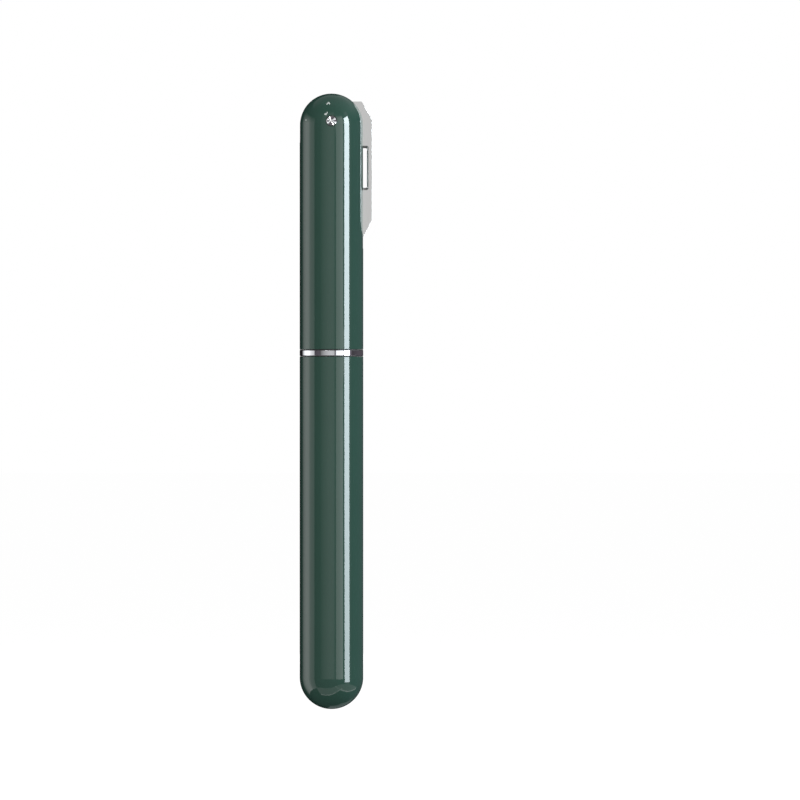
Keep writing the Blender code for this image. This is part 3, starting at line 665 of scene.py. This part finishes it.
def foil_blade():
    """The blade: a stamped plate with a nail slot along its spine, ground to an edge on its inner side."""
    outline, grind_line, cutting_edge = blade_lines()
    edge = begin("cutting_edge", cutting_edge[0])
    draw(cutting_edge)
    bpy.ops.object.mode_set(mode="OBJECT")
    piece = sheet("blade_plate", outline)
    bpy.ops.object.mode_set(mode="OBJECT")
    select_only(piece)
    edge.select_set(True)
    bpy.ops.object.join()

    def near(p, line):
        return any((p - Vector(q)).length < weld_distance for q in line)

    def on(places, line):
        return all(near(p, line) for p in places)

    edit(piece)
    choose(piece, "EDGE", lambda places: on(places, grind_line) or on(places, cutting_edge))
    bpy.ops.mesh.bridge_edge_loops()
    close_up()
    group = piece.vertex_groups.new(name="thickness")
    thin = [v.index for v in piece.data.vertices if near(v.co, cutting_edge[1:])]
    thickness = blade_high.y - blade_low.y
    group.add([v.index for v in piece.data.vertices], 1, "REPLACE")
    group.add(thin, blade_edge_thickness / thickness, "REPLACE")
    modified(piece, "SOLIDIFY", thickness=thickness, offset=0, vertex_group=group.name)
    piece.vertex_groups.clear()
    cut(piece, set_on_pivot(turned("blade_pivot_hole", band(0, pin_hole_radius, -cut_overrun, cut_overrun))))
    cut(piece, nail_slot())

    edit(piece)
    face_y = blade_high.y - weld_distance
    bpy.ops.mesh.select_mode(type="EDGE")
    bpy.ops.mesh.select_all(action="DESELECT")
    bpy.ops.mesh.edges_select_sharp(sharpness=math.radians(sharp_angle))
    bpy.ops.object.mode_set(mode="OBJECT")
    for line in piece.data.edges:
        ends = [piece.data.vertices[i].co for i in line.vertices]
        line.select = line.select and all(abs(p.y) > face_y for p in ends)
    bpy.ops.object.mode_set(mode="EDIT")
    bpy.ops.mesh.bevel(offset=blade_edge_round, segments=round_steps, affect="EDGES")
    bpy.ops.object.mode_set(mode="OBJECT")
    stand_for(piece, "foil_blade", blade_steel)


def head_profile(face):
    """The head of the pin and of its screw: grooves from facing it on a lathe, a broken edge and a side."""
    count = int((pin_head_radius - edge_break) / groove_pitch)
    points = []
    for i in range(count * groove_steps + 1):
        turn = math.tau * i / groove_steps
        points.append((i * groove_pitch / groove_steps, face - groove_depth * (1 - math.cos(turn)) / 2))
    return [*points, (pin_head_radius, face - edge_break), (pin_head_radius, face - pin_head_height)]


def pivot_pin():
    """The pin's turned head shows at the front. Its barrel takes the screw from the back."""
    face = -pin_low.y
    blind = screw_low.y - seat_gap
    profile = head_profile(face) + [
        (pin_radius, face - pin_head_height),
        (pin_radius, -pin_high.y),
        (pin_bore_radius, -pin_high.y),
        (pin_bore_radius, -blind),
        (0, -blind),
    ]
    stand_for(set_on_pivot(turned("pin_turning", profile)), "pivot_pin", faced_chrome)


def pivot_screw():
    """A slotted screw in the pin's barrel, at the back of the cap."""
    face = screw_high.y
    profile = head_profile(face) + [
        (screw_shank_radius, face - pin_head_height),
        (screw_shank_radius, screw_low.y),
        (0, screw_low.y),
    ]
    piece = turned("screw_turning", profile)
    bpy.ops.object.select_all(action="DESELECT")
    bpy.ops.mesh.primitive_cube_add(size=1, location=(0, 0, face))
    slot = bpy.context.object
    slot.scale = (3 * pin_head_radius, screw_slot_width, 2 * screw_slot_depth)
    bpy.ops.object.transform_apply(location=True, rotation=True, scale=True)
    cut(piece, slot)
    stand_for(placed(piece, (0, 0, pivot_z), to_back), "pivot_screw", surfaces["stainless_steel"])


def inner_piece(node, profile, edge=inner_round):
    """A turned piece with its record's finish, in its CAD node's place."""
    stand_for(turned(f"{node}_turning", profile), node, surfaces[slot_of[node]], edge)


def washer(node, inner):
    """A plain ring as wide and as high as its CAD node."""
    low, high, outer = extent(node)
    inner_piece(node, band(inner, outer, low, high))


def ring_of(node):
    """A seal ring's radius, the radius of its section, and its height."""
    low, high, outer = extent(node)
    section = (high - low) / 2
    return outer - section, section, (low + high) / 2


def seal_ring(node):
    radius, section, height = ring_of(node)
    inner_piece(node, arc((radius, height), section, 0, 360, seal_sides)[:-1], 0)


def grooved(outer, node):
    """The groove that a seal ring sits in, as points up the outside of a piece."""
    radius, section, height = ring_of(node)
    half = section + seat_gap
    floor = radius - half
    return [(outer, height - half), (floor, height - half), (floor, height + half), (outer, height + half)]


def pump_end():
    """The plug and cushion at the cylinder's foot, and the cylinder."""
    dome = shell_inner_radius - seat_gap
    low, high = foot_of["end_plug"], top_of["end_plug"]
    start = -math.degrees(math.asin((body_radius - low) / dome))
    rim = foot_of["cylinder_tube"] - seat_gap
    profile = [(0, low), *arc((0, body_radius), dome, start, 0, edge_steps), (dome, rim), (guide_radius, rim)]
    profile += [*grooved(guide_radius, "end_plug_oring"), (guide_radius, high), (0, high)]
    inner_piece("end_plug", profile)
    seal_ring("end_plug_oring")
    washer("bump_washer", bump_hole_radius)
    washer("cylinder_tube", radius_of["cylinder_tube"] - cylinder_wall)


def gland():
    """The bush that guides the plunger tube, its wiper, and the nut that holds them in the sleeve."""
    low, high, outer = extent("gland_bush")
    pocket = radius_of["gland_wiper"] + seat_gap
    pocket_floor = foot_of["gland_wiper"] - seat_gap
    profile = [(guide_bore, low), (guide_radius, low), (guide_radius, high - gland_flange)]
    profile += [(outer, high - gland_flange), (outer, high), (pocket, high), (pocket, pocket_floor)]
    inner_piece("gland_bush", [*profile, (guide_bore, pocket_floor)])

    low, high, outer = extent("gland_wiper")
    profile = [(guide_bore + wiper_lip, low), (outer, low), (outer, high), (guide_bore, high)]
    inner_piece("gland_wiper", [*profile, (guide_bore, high - wiper_lip)], lip_round)

    low, high, outer = extent("gland_nut")
    nut = turned("gland_nut_turning", band(guide_bore, outer, low, high))
    hole = band(0, spanner_hole_radius, high - spanner_hole_depth, high + cut_overrun)
    for side in (1, -1):
        cut(nut, placed(turned("spanner_hole", hole), (side * (guide_bore + outer) / 2, 0, 0)))
    stand_for(nut, "gland_nut", surfaces["black_nylon"], inner_round)


def hexagon(name, radius, low, high):
    """A hexagon with the corners of its top face turned off."""
    piece = turned(name, band(0, radius, low, high), hexagon_sides)
    flat = radius * math.cos(math.pi / hexagon_sides) - edge_break
    drop = (radius - flat) * math.tan(math.radians(hexagon_top_angle))
    round_top = [(0, low), (radius, low), (radius, high - drop), (flat, high), (0, high)]
    combine(piece, turned("hexagon_blank", round_top), "INTERSECT")
    return piece


def bored(piece, radius, low, high):
    """Bores a piece along +Z."""
    cut(piece, turned("bore", band(0, radius, low - cut_overrun, high + cut_overrun)))


def piston():
    """The piston in the cylinder, with its cup seal, nut, valve ball and retainer."""
    low, high = foot_of["piston_body"], top_of["piston_body"]
    land_low = top_of["piston_cup"] + seat_gap
    land_high = foot_of["plunger_tube"] - seat_gap
    chamber_top = foot_of["valve_retainer"] - seat_gap
    counterbore = chamber_radius + retainer_step
    seat = low + inlet_length
    cone_top = seat + chamber_radius - inlet_radius
    profile = [(neck_radius, low), (neck_radius, land_low), (guide_radius, land_low)]
    profile += [(guide_radius, land_high), (spigot_radius, land_high)]
    profile += [*grooved(spigot_radius, "piston_oring"), (spigot_radius, high), (counterbore, high)]
    profile += [(counterbore, chamber_top), (chamber_radius, chamber_top), (chamber_radius, cone_top)]
    inner_piece("piston_body", [*profile, (inlet_radius, seat), (inlet_radius, low)])

    inner = neck_radius + seat_gap
    low, high, outer = extent("piston_cup")
    web = high - cup_web
    lip = outer - cup_lip_thickness
    profile = [(inner, web), (lip - cup_shoulder, web), (lip, web - cup_shoulder), (lip, low), (outer, low)]
    profile += [(outer, high - cup_shoulder), (outer - cup_shoulder, high), (inner, high)]
    inner_piece("piston_cup", profile, lip_round)

    low, high, outer = extent("piston_nut")
    nut = hexagon("piston_hexagon", outer, low, high)
    bored(nut, inner, low, high)
    stand_for(nut, "piston_nut", surfaces["brass"], lip_round)
    seal_ring("piston_oring")
    washer("valve_retainer", retainer_hole_radius)
    low, high, radius = extent("check_ball")
    inner_piece("check_ball", arc((0, (low + high) / 2), radius, -90, 90, dome_steps), 0)


def valve_spring():
    """The valve's spring: one wire in an even helix. In the real valve it shortens towards its top as the
    ball lifts.
    """
    foot, top, outer = extent("valve_spring")
    low, high = foot + spring_wire_radius, top - spring_wire_radius
    section = arc((outer - spring_wire_radius, low), spring_wire_radius, 0, 360, wire_sides)
    piece = begin("spring_wire", (section[0][0], 0, section[0][1]))
    draw([(x, 0, z) for x, z in section])
    weld()
    bpy.ops.object.mode_set(mode="OBJECT")
    rise = (high - low) / spring_turns
    steps = {"steps": spring_steps, "render_steps": spring_steps}
    modified(piece, "SCREW", angle=math.tau, screw_offset=rise, iterations=spring_turns, **steps)
    edit(piece)
    bpy.ops.mesh.select_all(action="SELECT")
    # No limit of sides, so that both ends of the wire are filled
    bpy.ops.mesh.fill_holes(sides=0)
    close_up()
    stand_for(piece, "valve_spring", surfaces["stainless_steel"])
    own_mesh(piece)


def head():
    """The plunger's head: a spigot in the tube, black lips that close the gaps beside the ring and darken
    them as painted shade, and the boss.
    """
    low, seat = foot_of["head_body"], top_of["head_body"]
    grip_radius, grip_section, _ = ring_of("cap_grip_ring")
    boss = grip_radius + grip_section - grip_ring_stand
    flange = body_radius - ring_width - seat_gap
    lip = body_radius - gap_lip_inset
    under, over = ring_low.z, ring_high.z
    lip_foot, lip_top = under - gap_lip_thickness, over + gap_lip_thickness
    profile = [(air_passage_radius, low), (spigot_radius, low), *grooved(spigot_radius, "head_oring")]
    # The black lips close the gaps beside the ring, and their dark nylon is painted shade in those gaps
    profile += [(spigot_radius, under), (gap_lip_root, under), (gap_lip_root, lip_foot), (lip, lip_foot)]
    profile += [(lip, under), (flange, under), (flange, over), (lip, over), (lip, lip_top)]
    profile += [(gap_lip_root, lip_top), (gap_lip_root, over), (boss, over), *grooved(boss, "cap_grip_ring")]
    hub_pocket = hub_radius + seat_gap
    counterbore = radius_of["needle_hub"] + seat_gap
    counterbore_floor = seat - hub_flange - seat_gap
    pocket_floor = foot_of["hub_gasket"] - seat_gap
    profile += [(boss, seat - boss_chamfer), (boss - boss_chamfer, seat), (counterbore, seat)]
    profile += [(counterbore, counterbore_floor), (hub_pocket, counterbore_floor), (hub_pocket, pocket_floor)]
    inner_piece("head_body", [*profile, (air_passage_radius, pocket_floor)], lip_round)
    seal_ring("head_oring")
    seal_ring("cap_grip_ring")
    washer("plunger_tube", radius_of["plunger_tube"] - tube_wall)


def needle():
    """The hollow needle with its point and side port, and the hub and gasket that hold it."""
    low, high, radius = extent("needle")
    port = high - needle_port_drop
    blind = port + needle_port_radius
    profile = [(0, high), (needle_point_radius, high - needle_point_radius)]
    profile += [(radius, high - needle_point_length), (radius, low), (needle_bore_radius, low)]
    profile += [(needle_bore_radius, blind), (0, blind + needle_bore_radius)]
    shaft = turned("needle_shaft", profile)
    drill = turned("needle_drill", band(0, needle_port_radius, 0, radius + cut_overrun))
    cut(shaft, placed(drill, (0, 0, port), to_front))
    stand_for(shaft, "needle", surfaces["stainless_steel"])

    low, high, corner = extent("needle_hub")
    hub = hexagon("hub_hexagon", corner, high - hub_flange, high)
    overlap = high - hub_flange / 2
    combine(hub, turned("hub_body", band(0, hub_radius, low, overlap)), "UNION")
    bored(hub, radius + seat_gap, low, high)
    edit(hub)
    close_up()
    stand_for(hub, "needle_hub", surfaces["brass"], lip_round)
    washer("hub_gasket", gasket_hole_radius)


def blade_slot():
    """A cutter for the slot that the blade folds into, cut out of the carrier."""
    side = radius_of["needle"] + needle_clearance + carrier_web
    reach = blade_high.x + cut_overrun
    top = cad_high.z + cut_overrun
    outline = [(side, slot_bottom_z), (reach, slot_bottom_z), (reach, top), (-reach, top)]
    outline += [(-reach, slot_floor_z), (side, slot_floor_z)]
    cutter = sheet("blade_slot", [(x, -slot_half_width, z) for x, z in outline])
    extrude((0, 2 * slot_half_width, 0))
    close_up()
    return cutter


def cap_inside():
    """The liner that slides on the boss, and the block that holds the blade's pivot over the needle."""
    low, high, outer = extent("cap_liner")
    bore = outer - liner_wall
    profile = [(bore + liner_lead_in, low), (outer, low), (outer, high), (bore, high)]
    inner_piece("cap_liner", [*profile, (bore, low + liner_lead_in)])

    low = foot_of["blade_carrier"]
    bore = radius_of["needle"] + needle_clearance
    bore_top = slot_floor_z - bore_end_web
    profile = [(0, bore_top), (bore, bore_top), (bore, low + funnel_height), (bore + funnel_flare, low)]
    profile += [(outer, low), *arc((0, upper_dome_z), outer, 0, 90, dome_steps)]
    block = turned("carrier_block", profile)
    cut(block, blade_slot())
    out = body_radius + cut_overrun
    pocket = washer_radius + seat_gap
    back, front = -tension_high.y - seat_gap, -washer_low.y + seat_gap
    profile = [(0, -out), (pin_hole_radius, -out), (pin_hole_radius, back), (pocket, back)]
    profile += [(pocket, front), (pin_hole_radius, front), (pin_hole_radius, out), (0, out)]
    cut(block, set_on_pivot(turned("carrier_hole", profile)))
    stand_for(block, "blade_carrier", surfaces["black_nylon"], lip_round, segments=2)


def pivot_washers():
    """The two thrust washers beside the blade, and the dished one that gives it friction."""
    for node in ("thrust_washer_front", "thrust_washer_back"):
        low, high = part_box(node)
        profile = band(pin_hole_radius, washer_radius, -high.y, -low.y)
        piece = set_on_pivot(turned(f"{node}_turning", profile))
        stand_for(piece, node, surfaces["white_acetal"], lip_round)
    near, far = -tension_low.y, -tension_high.y
    profile = [(pin_hole_radius, near), (washer_radius, near - washer_dish), (washer_radius, far)]
    profile += [(pin_hole_radius, far + washer_dish)]
    piece = set_on_pivot(turned("tension_washer_pressing", profile))
    stand_for(piece, "tension_washer", surfaces["stainless_steel"])


cap = cap_shell()
pin_holes(cap)
stand_for(cap, "cap_shell", surfaces["green_gloss_abs"])
pump_sleeve()
trim_ring()
foil_blade()
pivot_pin()
pivot_screw()
pump_end()
gland()
piston()
valve_spring()
head()
needle()
cap_inside()
pivot_washers()


# Studio: cards that only shiny surfaces see, lamps that only dull ones see, and a white floor and background.
# Azimuths run clockwise from the camera's side, in degrees, and radiances are shares of paper white.
card_distance = 0.6
tent_distance = 0.9
tent_top = 1.0
tent_bottom = -0.8
tent_sides = 72
layer_gap = 0.01
azimuth_step = 4
sheen_height = -0.3
sheen_layer_gap = 0.001
sheen_rim_spread = 1.13
camera_distance = 6.149
camera_x = 0.0237
camera_z = 0.1069
camera_lens = 800
camera_sensor = 36
camera_view_depth = 100
floor_size = 40
floor_grey = 0.12
floor_white = 0.975
floor_glow = 0.3
world_glow = 0.15


def toward(azimuth, elevation):
    """A direction out from the object, as a unit vector."""
    turn, rise = math.radians(azimuth), math.radians(elevation)
    return Vector((math.sin(turn) * math.cos(rise), -math.cos(turn) * math.cos(rise), math.sin(rise)))


def around(azimuth, distance, height):
    """A point round the object, at a distance from its axis."""
    return Vector((0, 0, height)) + distance * toward(azimuth, 0)


def ring_points(places, height):
    """Points at one height from pairs of an azimuth and a distance."""
    return [around(azimuth, distance, height) for azimuth, distance in places]


def glow(name, stops, tint=(1, 1, 1), along=None, fade=None):
    """A card's light: radiance at stops of azimuth or, with a direction, of the distance along it.

    One stop is one even value. The light fades from the first height of fade to nothing at the second.
    """
    made, tree, _ = new_material(name)
    tree.nodes.clear()
    place = add(tree, "ShaderNodeTexCoord").outputs["Object"]
    parts = add(tree, "ShaderNodeSeparateXYZ", {"Vector": place})
    peak = max(radiance for _, radiance in stops)
    emission = add(tree, "ShaderNodeEmission", {"Color": (*tint, 1), "Strength": peak})
    if len(stops) > 1:
        if along:
            run = add(tree, "ShaderNodeVectorMath", {0: place, 1: along}, operation="DOT_PRODUCT")
            value = run.outputs["Value"]
        else:
            back = add(tree, "ShaderNodeMath", {0: parts.outputs["Y"], 1: -1.0}, operation="MULTIPLY")
            inputs = {0: parts.outputs["X"], 1: back.outputs[0]}
            turn = add(tree, "ShaderNodeMath", inputs, operation="ARCTAN2")
            value = add(tree, "ShaderNodeMath", {0: turn.outputs[0]}, operation="DEGREES").outputs[0]
        first, last = stops[0][0], stops[-1][0]
        share = add(tree, "ShaderNodeMapRange", {"Value": value, "From Min": first, "From Max": last})
        ramp = add(tree, "ShaderNodeValToRGB", {"Fac": share.outputs["Result"]})
        elements = ramp.color_ramp.elements
        while len(elements) < len(stops):
            elements.new(0.5)
        for element, (stop, radiance) in zip(elements, stops):
            element.position = (stop - first) / (last - first)
            element.color = (*(radiance / peak * c for c in tint), 1)
        tree.links.new(ramp.outputs["Color"], emission.inputs["Color"])
    if fade:
        reach = {"From Min": fade[0], "From Max": fade[1], "To Min": peak, "To Max": 0.0}
        level = add(tree, "ShaderNodeMapRange", {"Value": parts.outputs["Z"], **reach})
        tree.links.new(level.outputs["Result"], emission.inputs["Strength"])
    output = add(tree, "ShaderNodeOutputMaterial")
    tree.links.new(emission.outputs["Emission"], output.inputs["Surface"])
    return made


def hang(piece, surface):
    """Finishes a card that only reflections see."""
    bpy.ops.object.mode_set(mode="OBJECT")
    piece.data.materials.append(surface)
    for ray in ("camera", "diffuse", "transmission", "volume_scatter", "shadow"):
        setattr(piece, f"visible_{ray}", False)


def card(name, azimuths, heights, surface, distance=card_distance):
    """A sheet curved round the object, from one azimuth and height to another."""
    start, end = azimuths
    low, high = heights
    piece = begin(name, around(start, distance, low))
    extrude((0, 0, high - low))
    bpy.ops.mesh.select_all(action="SELECT")
    steps = max(2, round((end - start) / azimuth_step))
    bpy.ops.mesh.spin(steps=steps, angle=math.radians(start - end), center=(0, 0, 0), axis=(0, 0, 1))
    hang(piece, surface)


def plate(name, corners, surface):
    """A flat card with the given outline."""
    hang(sheet(name, corners), surface)


# A dark tent all round, with the light that comes over its back
tent_heights = (tent_bottom, tent_top)
tent_tint = (1.0, 0.9, 1.03)
tent_stops = [(-172, 0.004), (-130, 0.015), (-100, 0.05), (-60, 0.09), (-40, 0.12), (15, 0.15), (40, 0.1)]
tent_stops += [(50, 0.1), (66, 0.7), (72, 0.25), (80, 0.065), (115, 0.1), (150, 0.09), (172, 0.01)]
card("dark_tent", (-172, 172), tent_heights, glow("tent_black", tent_stops, tent_tint), tent_distance)
card("dark_back", (171, 188), tent_heights, glow("back_black", [(0, 0.04)]), tent_distance)
window_distance = tent_distance - 2 * layer_gap
card("back_window", (173, 187), (-0.15, 0.22), glow("back_window_light", [(0, 0.55)]), window_distance)
back_stops = [(80, 0.22), (120, 0.38), (176, 0.42)]
back_glow = glow("upper_back_light", back_stops, (0.97, 1, 1), fade=(0.85, 0.35))
card("upper_back_glow", (80, 171), (0.35, tent_top), back_glow, tent_distance - layer_gap)
whole_turn = [(360 / tent_sides * i, tent_distance) for i in range(tent_sides)]
ceiling_stops = [(-0.9, 0.03), (-0.3, 0.09), (0, 0.2), (0.9, 0.36)]
ceiling_light = glow("ceiling_grey", ceiling_stops, along=(0.5, 1, 0))
plate("pale_ceiling", ring_points(whole_turn, tent_top), ceiling_light)
plate("dark_below", ring_points(whole_turn, tent_bottom), glow("below_dark", [(0, 0.04)]))

# The sheen of the table, which draws the shapes on the round foot, with a bright rim nearest the foot
left_rim = [(-64, 0.2), (-56, 0.173), (-36, 0.138), (-9, 0.137), (14, 0.171), (30, 0.243)]
left_rim += [(41, 0.319), (47, 0.409)]
left_far = [(46, 0.6), (41, 0.739), (23, 0.538), (5, 0.43), (-20, 0.39), (-44, 0.453), (-64, 0.52)]
right_rim = [(16, 0.47), (27, 0.396), (40, 0.342), (57, 0.311), (83, 0.342), (103, 0.483), (116, 0.72)]
right_far = [(116, 0.86), (90, 0.86), (63, 0.86), (40, 0.736), (25, 0.614)]
sheen = glow("table_sheen_light", [(0, 0.6)])
sheen_rim = glow("table_sheen_rim_light", [(0, 1.9)])
right_height = sheen_height - sheen_layer_gap
sheens = (("left", left_rim, left_far, sheen_height), ("right", right_rim, right_far, right_height))
for side, rim, far, height in sheens:
    plate(f"table_sheen_{side}", ring_points(rim + far, height), sheen)
    wider = [(azimuth, distance * sheen_rim_spread) for azimuth, distance in rim[::-1]]
    plate(f"table_sheen_rim_{side}", ring_points(rim + wider, height + sheen_layer_gap), sheen_rim)
low_back_light = glow("low_back_light", [(0, 0.36)], (0.9, 1, 1))
card("low_back_glow", (148, 184), (tent_bottom, sheen_height), low_back_light)

# The columns of light along the body, from left to right
left_stops = [(-133, 0), (-129, 0.15), (-122, 0.65), (-115.6, 1.05), (-103, 1.7), (-92, 1.9)]
left_stops += [(-88, 1.6), (-82, 1.05), (-68, 0.75), (-62, 0.7)]
card("softbox_left", (-133, -64), (-0.384, 0.5), glow("softbox_left_light", left_stops, fade=(0.26, 0.48)))
front_stops = [(-42, 0.05), (-36, 0.25), (-25, 0.45), (-10, 0.62), (0, 0.66), (9, 0.6), (14, 0.1)]
card("fill_front", (-42, 14), (-0.056, 0.95), glow("fill_front_light", front_stops, fade=(0.6, 0.95)))
panel_stops = [(16.5, 1.3), (28, 1.6), (42, 2.2)]
panel_light = glow("panel_right_light", panel_stops, (0.97, 1.0, 1.0), fade=(0.46, 0.6))
card("panel_right", (16.5, 42.5), (-0.056, 0.6), panel_light)
card("panel_edge", (42.5, 47.6), (0.116, 0.134), glow("panel_edge_light", [(0, 1.5)]))
strip_stops = [(0.011, 12.6), (0.154, 18), (0.26, 23.5)]
strip_corners = [(51, -0.165), (47.6, 0.1), (47.2, 0.435), (66.5, 0.513), (67.3, 0.1), (70.6, -0.13)]
strip_outline = [around(azimuth, card_distance, height) for azimuth, height in strip_corners]
strip_tint = (0.745, 0.83, 0.885)
plate("strip_right", strip_outline, glow("strip_right_light", strip_stops, strip_tint, (0, 0, 1)))

# Three small lamps of the photograph's studio, seen only in the cap's round end and the pin's turned head
small_light = glow("small_lamp_light", [(0, 10)])
pin_middle = Vector((0, 0, pivot_z))
tick = [(-31, 39), (-27, 33), (-20, 36), (-16, 47), (-20, 47), (-24, 43)]
plate("lamp_tick", [pin_middle + card_distance * toward(*corner) for corner in tick], small_light)
chevron = [(-0.21, -0.1), (-0.14, -0.01), (-0.09, 0.05), (-0.04, -0.12)]
chevron += [(-0.09, -0.12), (-0.12, -0.05), (-0.16, -0.12)]
plate("lamp_chevron", [(x, y, tent_top - layer_gap) for x, y in chevron], small_light)
card("lamp_spot", (-112, -106), (0.3, 0.335), glow("lamp_spot_light", [(0, 4)]), card_distance - layer_gap)


def lamp(name, azimuth, elevation, distance, size, level, colour="#ffffff"):
    """A soft lamp aimed at the object. Its level is what a white card there would show."""
    away = toward(azimuth, elevation)
    middle = Vector((0, 0, (cad_low.z + cad_high.z) / 2))
    bpy.ops.object.light_add(type="AREA", location=middle + away * distance)
    made = bpy.context.object
    made.name = name
    made.rotation_euler = away.to_track_quat("Z", "Y").to_euler()
    made.data.size = size
    made.data.energy = level * math.pi**2 * distance**2
    made.data.color = srgb(colour)[:3]
    made.visible_camera = False
    made.visible_glossy = False


lamp("key_lamp", azimuth=56, elevation=20, distance=1.3, size=0.5, level=0.18, colour="#f0fbff")
lamp("side_lamp", azimuth=98, elevation=8, distance=1.3, size=0.6, level=0.55, colour="#f0fbff")
lamp("front_lamp", azimuth=0, elevation=12, distance=1.4, size=0.8, level=0.55, colour="#fff2e4")
lamp("top_lamp", azimuth=0, elevation=85, distance=1.3, size=0.8, level=0.3)
lamp("back_lamp", azimuth=180, elevation=15, distance=1.3, size=0.8, level=0.4)


def seen_by(tree, *rays):
    """1 for a ray of the named kinds, and 0 for any other."""
    path = add(tree, "ShaderNodeLightPath")
    seen = path.outputs[rays[0]]
    for ray in rays[1:]:
        inputs = {0: seen, 1: path.outputs[ray]}
        seen = add(tree, "ShaderNodeMath", inputs, operation="MAXIMUM").outputs[0]
    return seen


def studio_floor():
    """A floor that reads as white, keeps the object's shadow, and lets the cards' reflections reach down."""
    bpy.ops.object.select_all(action="DESELECT")
    bpy.ops.mesh.primitive_plane_add(size=floor_size, location=(0, 0, 0))
    floor = bpy.context.object
    floor.name = "studio_floor"
    made, tree, shader = new_material("white_paper_floor")
    grey = (floor_grey, floor_grey, floor_grey, 1)
    set_inputs(shader, Base_Color=grey, Roughness=0.9, Specular_IOR_Level=0.0, Emission_Color=(1, 1, 1, 1))
    seen = seen_by(tree, "Is Camera Ray", "Is Transmission Ray")
    level = add(tree, "ShaderNodeMapRange", {"Value": seen, "To Min": floor_glow, "To Max": floor_white})
    tree.links.new(level.outputs["Result"], shader.inputs["Emission Strength"])
    floor.data.materials.append(made)
    floor.visible_glossy = False


def studio_world():
    """White behind everything, and an even dim light for dull surfaces."""
    world = bpy.data.worlds.new("studio_world")
    world.use_nodes = True
    bpy.context.scene.world = world
    tree = world.node_tree
    seen = seen_by(tree, "Is Camera Ray", "Is Glossy Ray", "Is Transmission Ray")
    level = add(tree, "ShaderNodeMapRange", {"Value": seen, "To Min": world_glow, "To Max": 1.0})
    background = tree.nodes["Background"]
    background.inputs["Color"].default_value = (1, 1, 1, 1)
    tree.links.new(level.outputs["Result"], background.inputs["Strength"])


def studio_camera():
    """A long lens from far off, level with the object's middle and a little to its right."""
    data = bpy.data.cameras.new("studio_camera")
    data.lens = camera_lens
    data.sensor_width = camera_sensor
    data.clip_end = camera_view_depth
    camera = bpy.data.objects.new("studio_camera", data)
    camera.location = (camera_x, -camera_distance, camera_z)
    camera.rotation_euler = (math.pi / 2, 0, 0)
    bpy.context.scene.collection.objects.link(camera)
    bpy.context.scene.camera = camera


studio_floor()
studio_world()
studio_camera()
bpy.context.scene.view_settings.view_transform = "Standard"
